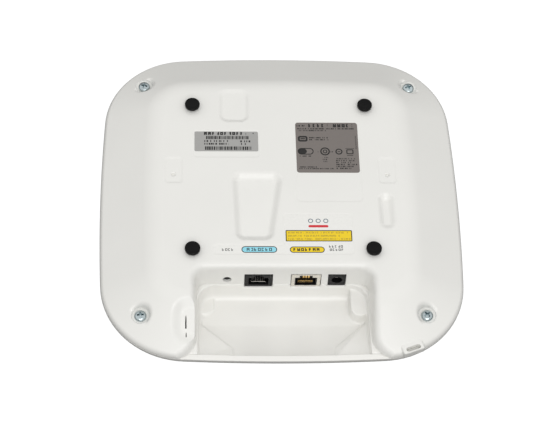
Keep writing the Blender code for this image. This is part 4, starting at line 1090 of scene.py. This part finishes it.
def port_prints():
    """The port label: a strip, two coloured pills with outlines, a bar, three rings and signs."""
    strip = Print("notice_strip", "ink_yellow", "white_label")
    strip.bar(2.0, 41.3, -38.9, -31.6)
    strip.done()
    round_bar("port_pill_yellow", "ink_yellow", 4.2, 24.4, -46.9, -43.2, 1.8)
    round_bar("port_pill_blue", "ink_blue", -24.6, -4.0, -46.9, -43.0, 1.9)
    lines = Print("port_lines", "ink_black", "black_plastic", 1)
    lines.frame(1.7, 41.6, -39.2, -31.3, 0.6, 0.55)
    lines.frame(3.9, 24.7, -47.2, -42.9, 2.1, 0.5)
    lines.frame(-24.9, -3.7, -47.2, -42.7, 2.2, 0.5)
    lines.signs(-21.8, -6.6, -46.0, 2.1, 60, 0.2, 0.78, 0.0)
    lines.signs(6.0, 22.8, -46.0, 2.0, 61, 0.28, 0.85, 0.0)
    lines.done()
    grey = Print("port_marks", "ink_grey", "black_plastic")
    grey.signs(-36.5, -29.0, -45.9, 1.7, 62, 0.2, 0.8, 0.0)
    grey.signs(27.4, 36.0, -43.6, 1.6, 63, 0.22, 0.8, 0.0)
    grey.signs(27.8, 36.4, -45.9, 1.6, 64, 0.22, 0.8, 0.0)
    grey.done()
    notice = Print("notice_lines", "ink_notice", "white_label", 1)
    for row, end in enumerate((39.6, 34.6, 40.6)):
        notice.signs(3.2, end, -33.6 - 2.25 * row, 1.15, 70 + row, 0.18, 0.66, 0.1)
    notice.done()
    round_bar("maker_mark", "ink_red", 15.6, 27.6, -29.3, -27.6, 0.8)
    rings = Print("maker_rings", "ink_navy", "white_label")
    for x in (17.0, 21.6, 26.2):
        rings.frame(x - 1.5, x + 1.5, -26.1, -23.1, 1.45, 0.45)
    rings.done()


# ------------ the remaining small parts


def light_pipe():
    low, high = box_mm("status_light_pipe")
    levels = [(low.z, -0.5), (low.z + 0.12, -0.2), (low.z + 0.35, -0.03), (low.z + 0.6, 0.0)]
    levels += [(high.z - 0.4, 0.0), (high.z, -0.3)]
    rings = [at_height(lamp_outline(offset, 10), z) for z, offset in levels]
    lens = loft("lamp_lens", rings, "clear_plastic")
    place(smooth(lens, 40.0), "clear_plastic", "status_light_pipe")


def finish_cad_nodes():
    """The CAD nodes that stay get welded corners, a small rounded edge and their own materials."""
    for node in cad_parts.values():
        if node.type != "MESH" or node.hide_render:
            continue
        for own in node.material_slots:
            base = own.material.name.split(".")[0] if own.material else ""
            if base in MATERIALS:
                own.link = "OBJECT"
                own.material = MATERIALS[base]
        weld = node.modifiers.new("weld", "WELD")
        weld.merge_threshold = 1.0e-6
        bevel = node.modifiers.new("bevel", "BEVEL")
        bevel.width = 0.12 * MM
        bevel.segments = 2
        bevel.limit_method = "ANGLE"
        bevel.angle_limit = math.radians(35)
        bevel.use_clamp_overlap = True
        weighted = node.modifiers.new("weighted", "WEIGHTED_NORMAL")
        weighted.keep_sharp = True


# ------------ stage


def floor_sheet():
    """A wide floor just under the object: dull grey to the light, and plain white to the camera."""
    bm = bmesh.new()
    bmesh.ops.create_grid(bm, x_segments=2, y_segments=2, size=3500)
    bmesh.ops.translate(bm, vec=(0, 0, JACK_TIP_Z - 0.4), verts=bm.verts)
    floor = to_object("floor", bm)
    if floor.data.polygons[0].normal.z < 0:
        floor.data.flip_normals()
    paper = Nodes("floor_paper", (0.1, 0.1, 0.1), 0.85)
    paper.colour(paper.noise(3.0, 2.0), (0.095, 0.095, 0.095), (0.105, 0.105, 0.105))
    paper.set(Specular_IOR_Level=0.1, Emission_Color=(1, 1, 1, 1))
    rays = paper.add("ShaderNodeLightPath")
    paper.link(rays.outputs["Is Camera Ray"], paper.shader.inputs["Emission Strength"])
    floor.data.materials.append(paper.material)


def softbox(name, at, towards, wide, high, watts):
    light = bpy.data.lights.new(name, "AREA")
    light.shape = "RECTANGLE"
    light.size, light.size_y = wide, high
    light.energy = watts
    lamp = linked(name, light)
    lamp.location = at
    lamp.rotation_euler = (Vector(towards) - Vector(at)).to_track_quat("-Z", "Y").to_euler()


def studio_light():
    """A pale dome, brighter above and in front, and three soft lamps."""
    world = bpy.data.worlds.new("studio")
    scene.world = world
    world.use_nodes = True
    tree = world.node_tree
    background = tree.nodes["Background"]
    fill(background, Strength=0.92)

    direction = tree.nodes.new("ShaderNodeTexCoord")
    split = tree.nodes.new("ShaderNodeSeparateXYZ")
    tree.links.new(direction.outputs["Generated"], split.inputs["Vector"])
    rise = map_range(tree, split.outputs["Z"], 0.06, 0.56, 0.04, 1.13)
    depth = map_range(tree, split.outputs["Y"], -0.4, 0.8, 1.05, 0.82)
    both = tree.nodes.new("ShaderNodeMath")
    both.operation = "MULTIPLY"
    tree.links.new(rise, both.inputs[0])
    tree.links.new(depth, both.inputs[1])
    tone = tree.nodes.new("ShaderNodeMixRGB")
    fill(tone, Color1=(0, 0, 0, 1), Color2=(1.0, 0.998, 0.992, 1))
    tree.links.new(both.outputs["Value"], tone.inputs["Fac"])
    tree.links.new(tone.outputs["Color"], background.inputs["Color"])

    softbox("key", (0.05, -0.95, 1.25), (0, 0, 0), 1.0, 0.6, 4.2)
    softbox("low_front", (0.1, -1.3, 0.8), (0, -0.05, -0.02), 0.9, 0.3, 2.7)
    softbox("glint", (0.3, -0.85, 1.3), (0, 0, 0), 0.12, 0.12, 0.55)


CAMERA_RIGHT = (0.9987, -0.0260, 0.0426)
CAMERA_BACK = (-0.0499, -0.5434, 0.8380)
CAMERA_TARGET = (-5.3, -23.4, 0.0)
CAMERA_DISTANCE = 1064.1
LENS_LENGTH = 116.411
SENSOR_WIDTH = 36


def camera():
    right = Vector(CAMERA_RIGHT).normalized()
    back = Vector(CAMERA_BACK).normalized()
    up = back.cross(right).normalized()
    right = up.cross(back).normalized()
    lens = bpy.data.cameras.new("camera")
    lens.sensor_width = SENSOR_WIDTH
    lens.lens = LENS_LENGTH
    lens.clip_start = 0.01
    made = linked("camera", lens)
    place_at = Matrix.Translation((Vector(CAMERA_TARGET) + back * CAMERA_DISTANCE) * MM)
    made.matrix_world = place_at @ Matrix((right, up, back)).transposed().to_4x4()
    scene.camera = made
    scene.view_settings.view_transform = "Standard"
    scene.view_settings.look = "None"


rear_shell()
bay_liner()
front_cover()
for i, centre in enumerate(COVER_SCREW_XY, 1):
    cover_screw(i, centre)
for i, centre in enumerate(PIN_XY, 1):
    pin_cap(i, centre)
for i, centre in enumerate(ANTENNA_XY, 1):
    antenna_jack(i, centre)
contact_wires("console_contacts", "nickel")
contact_wires("ethernet_contacts", "gold")
mode_button()
power_pin()
latch_springs()
serial_prints()
rating_prints()
port_prints()
light_pipe()
finish_cad_nodes()
floor_sheet()
studio_light()
camera()
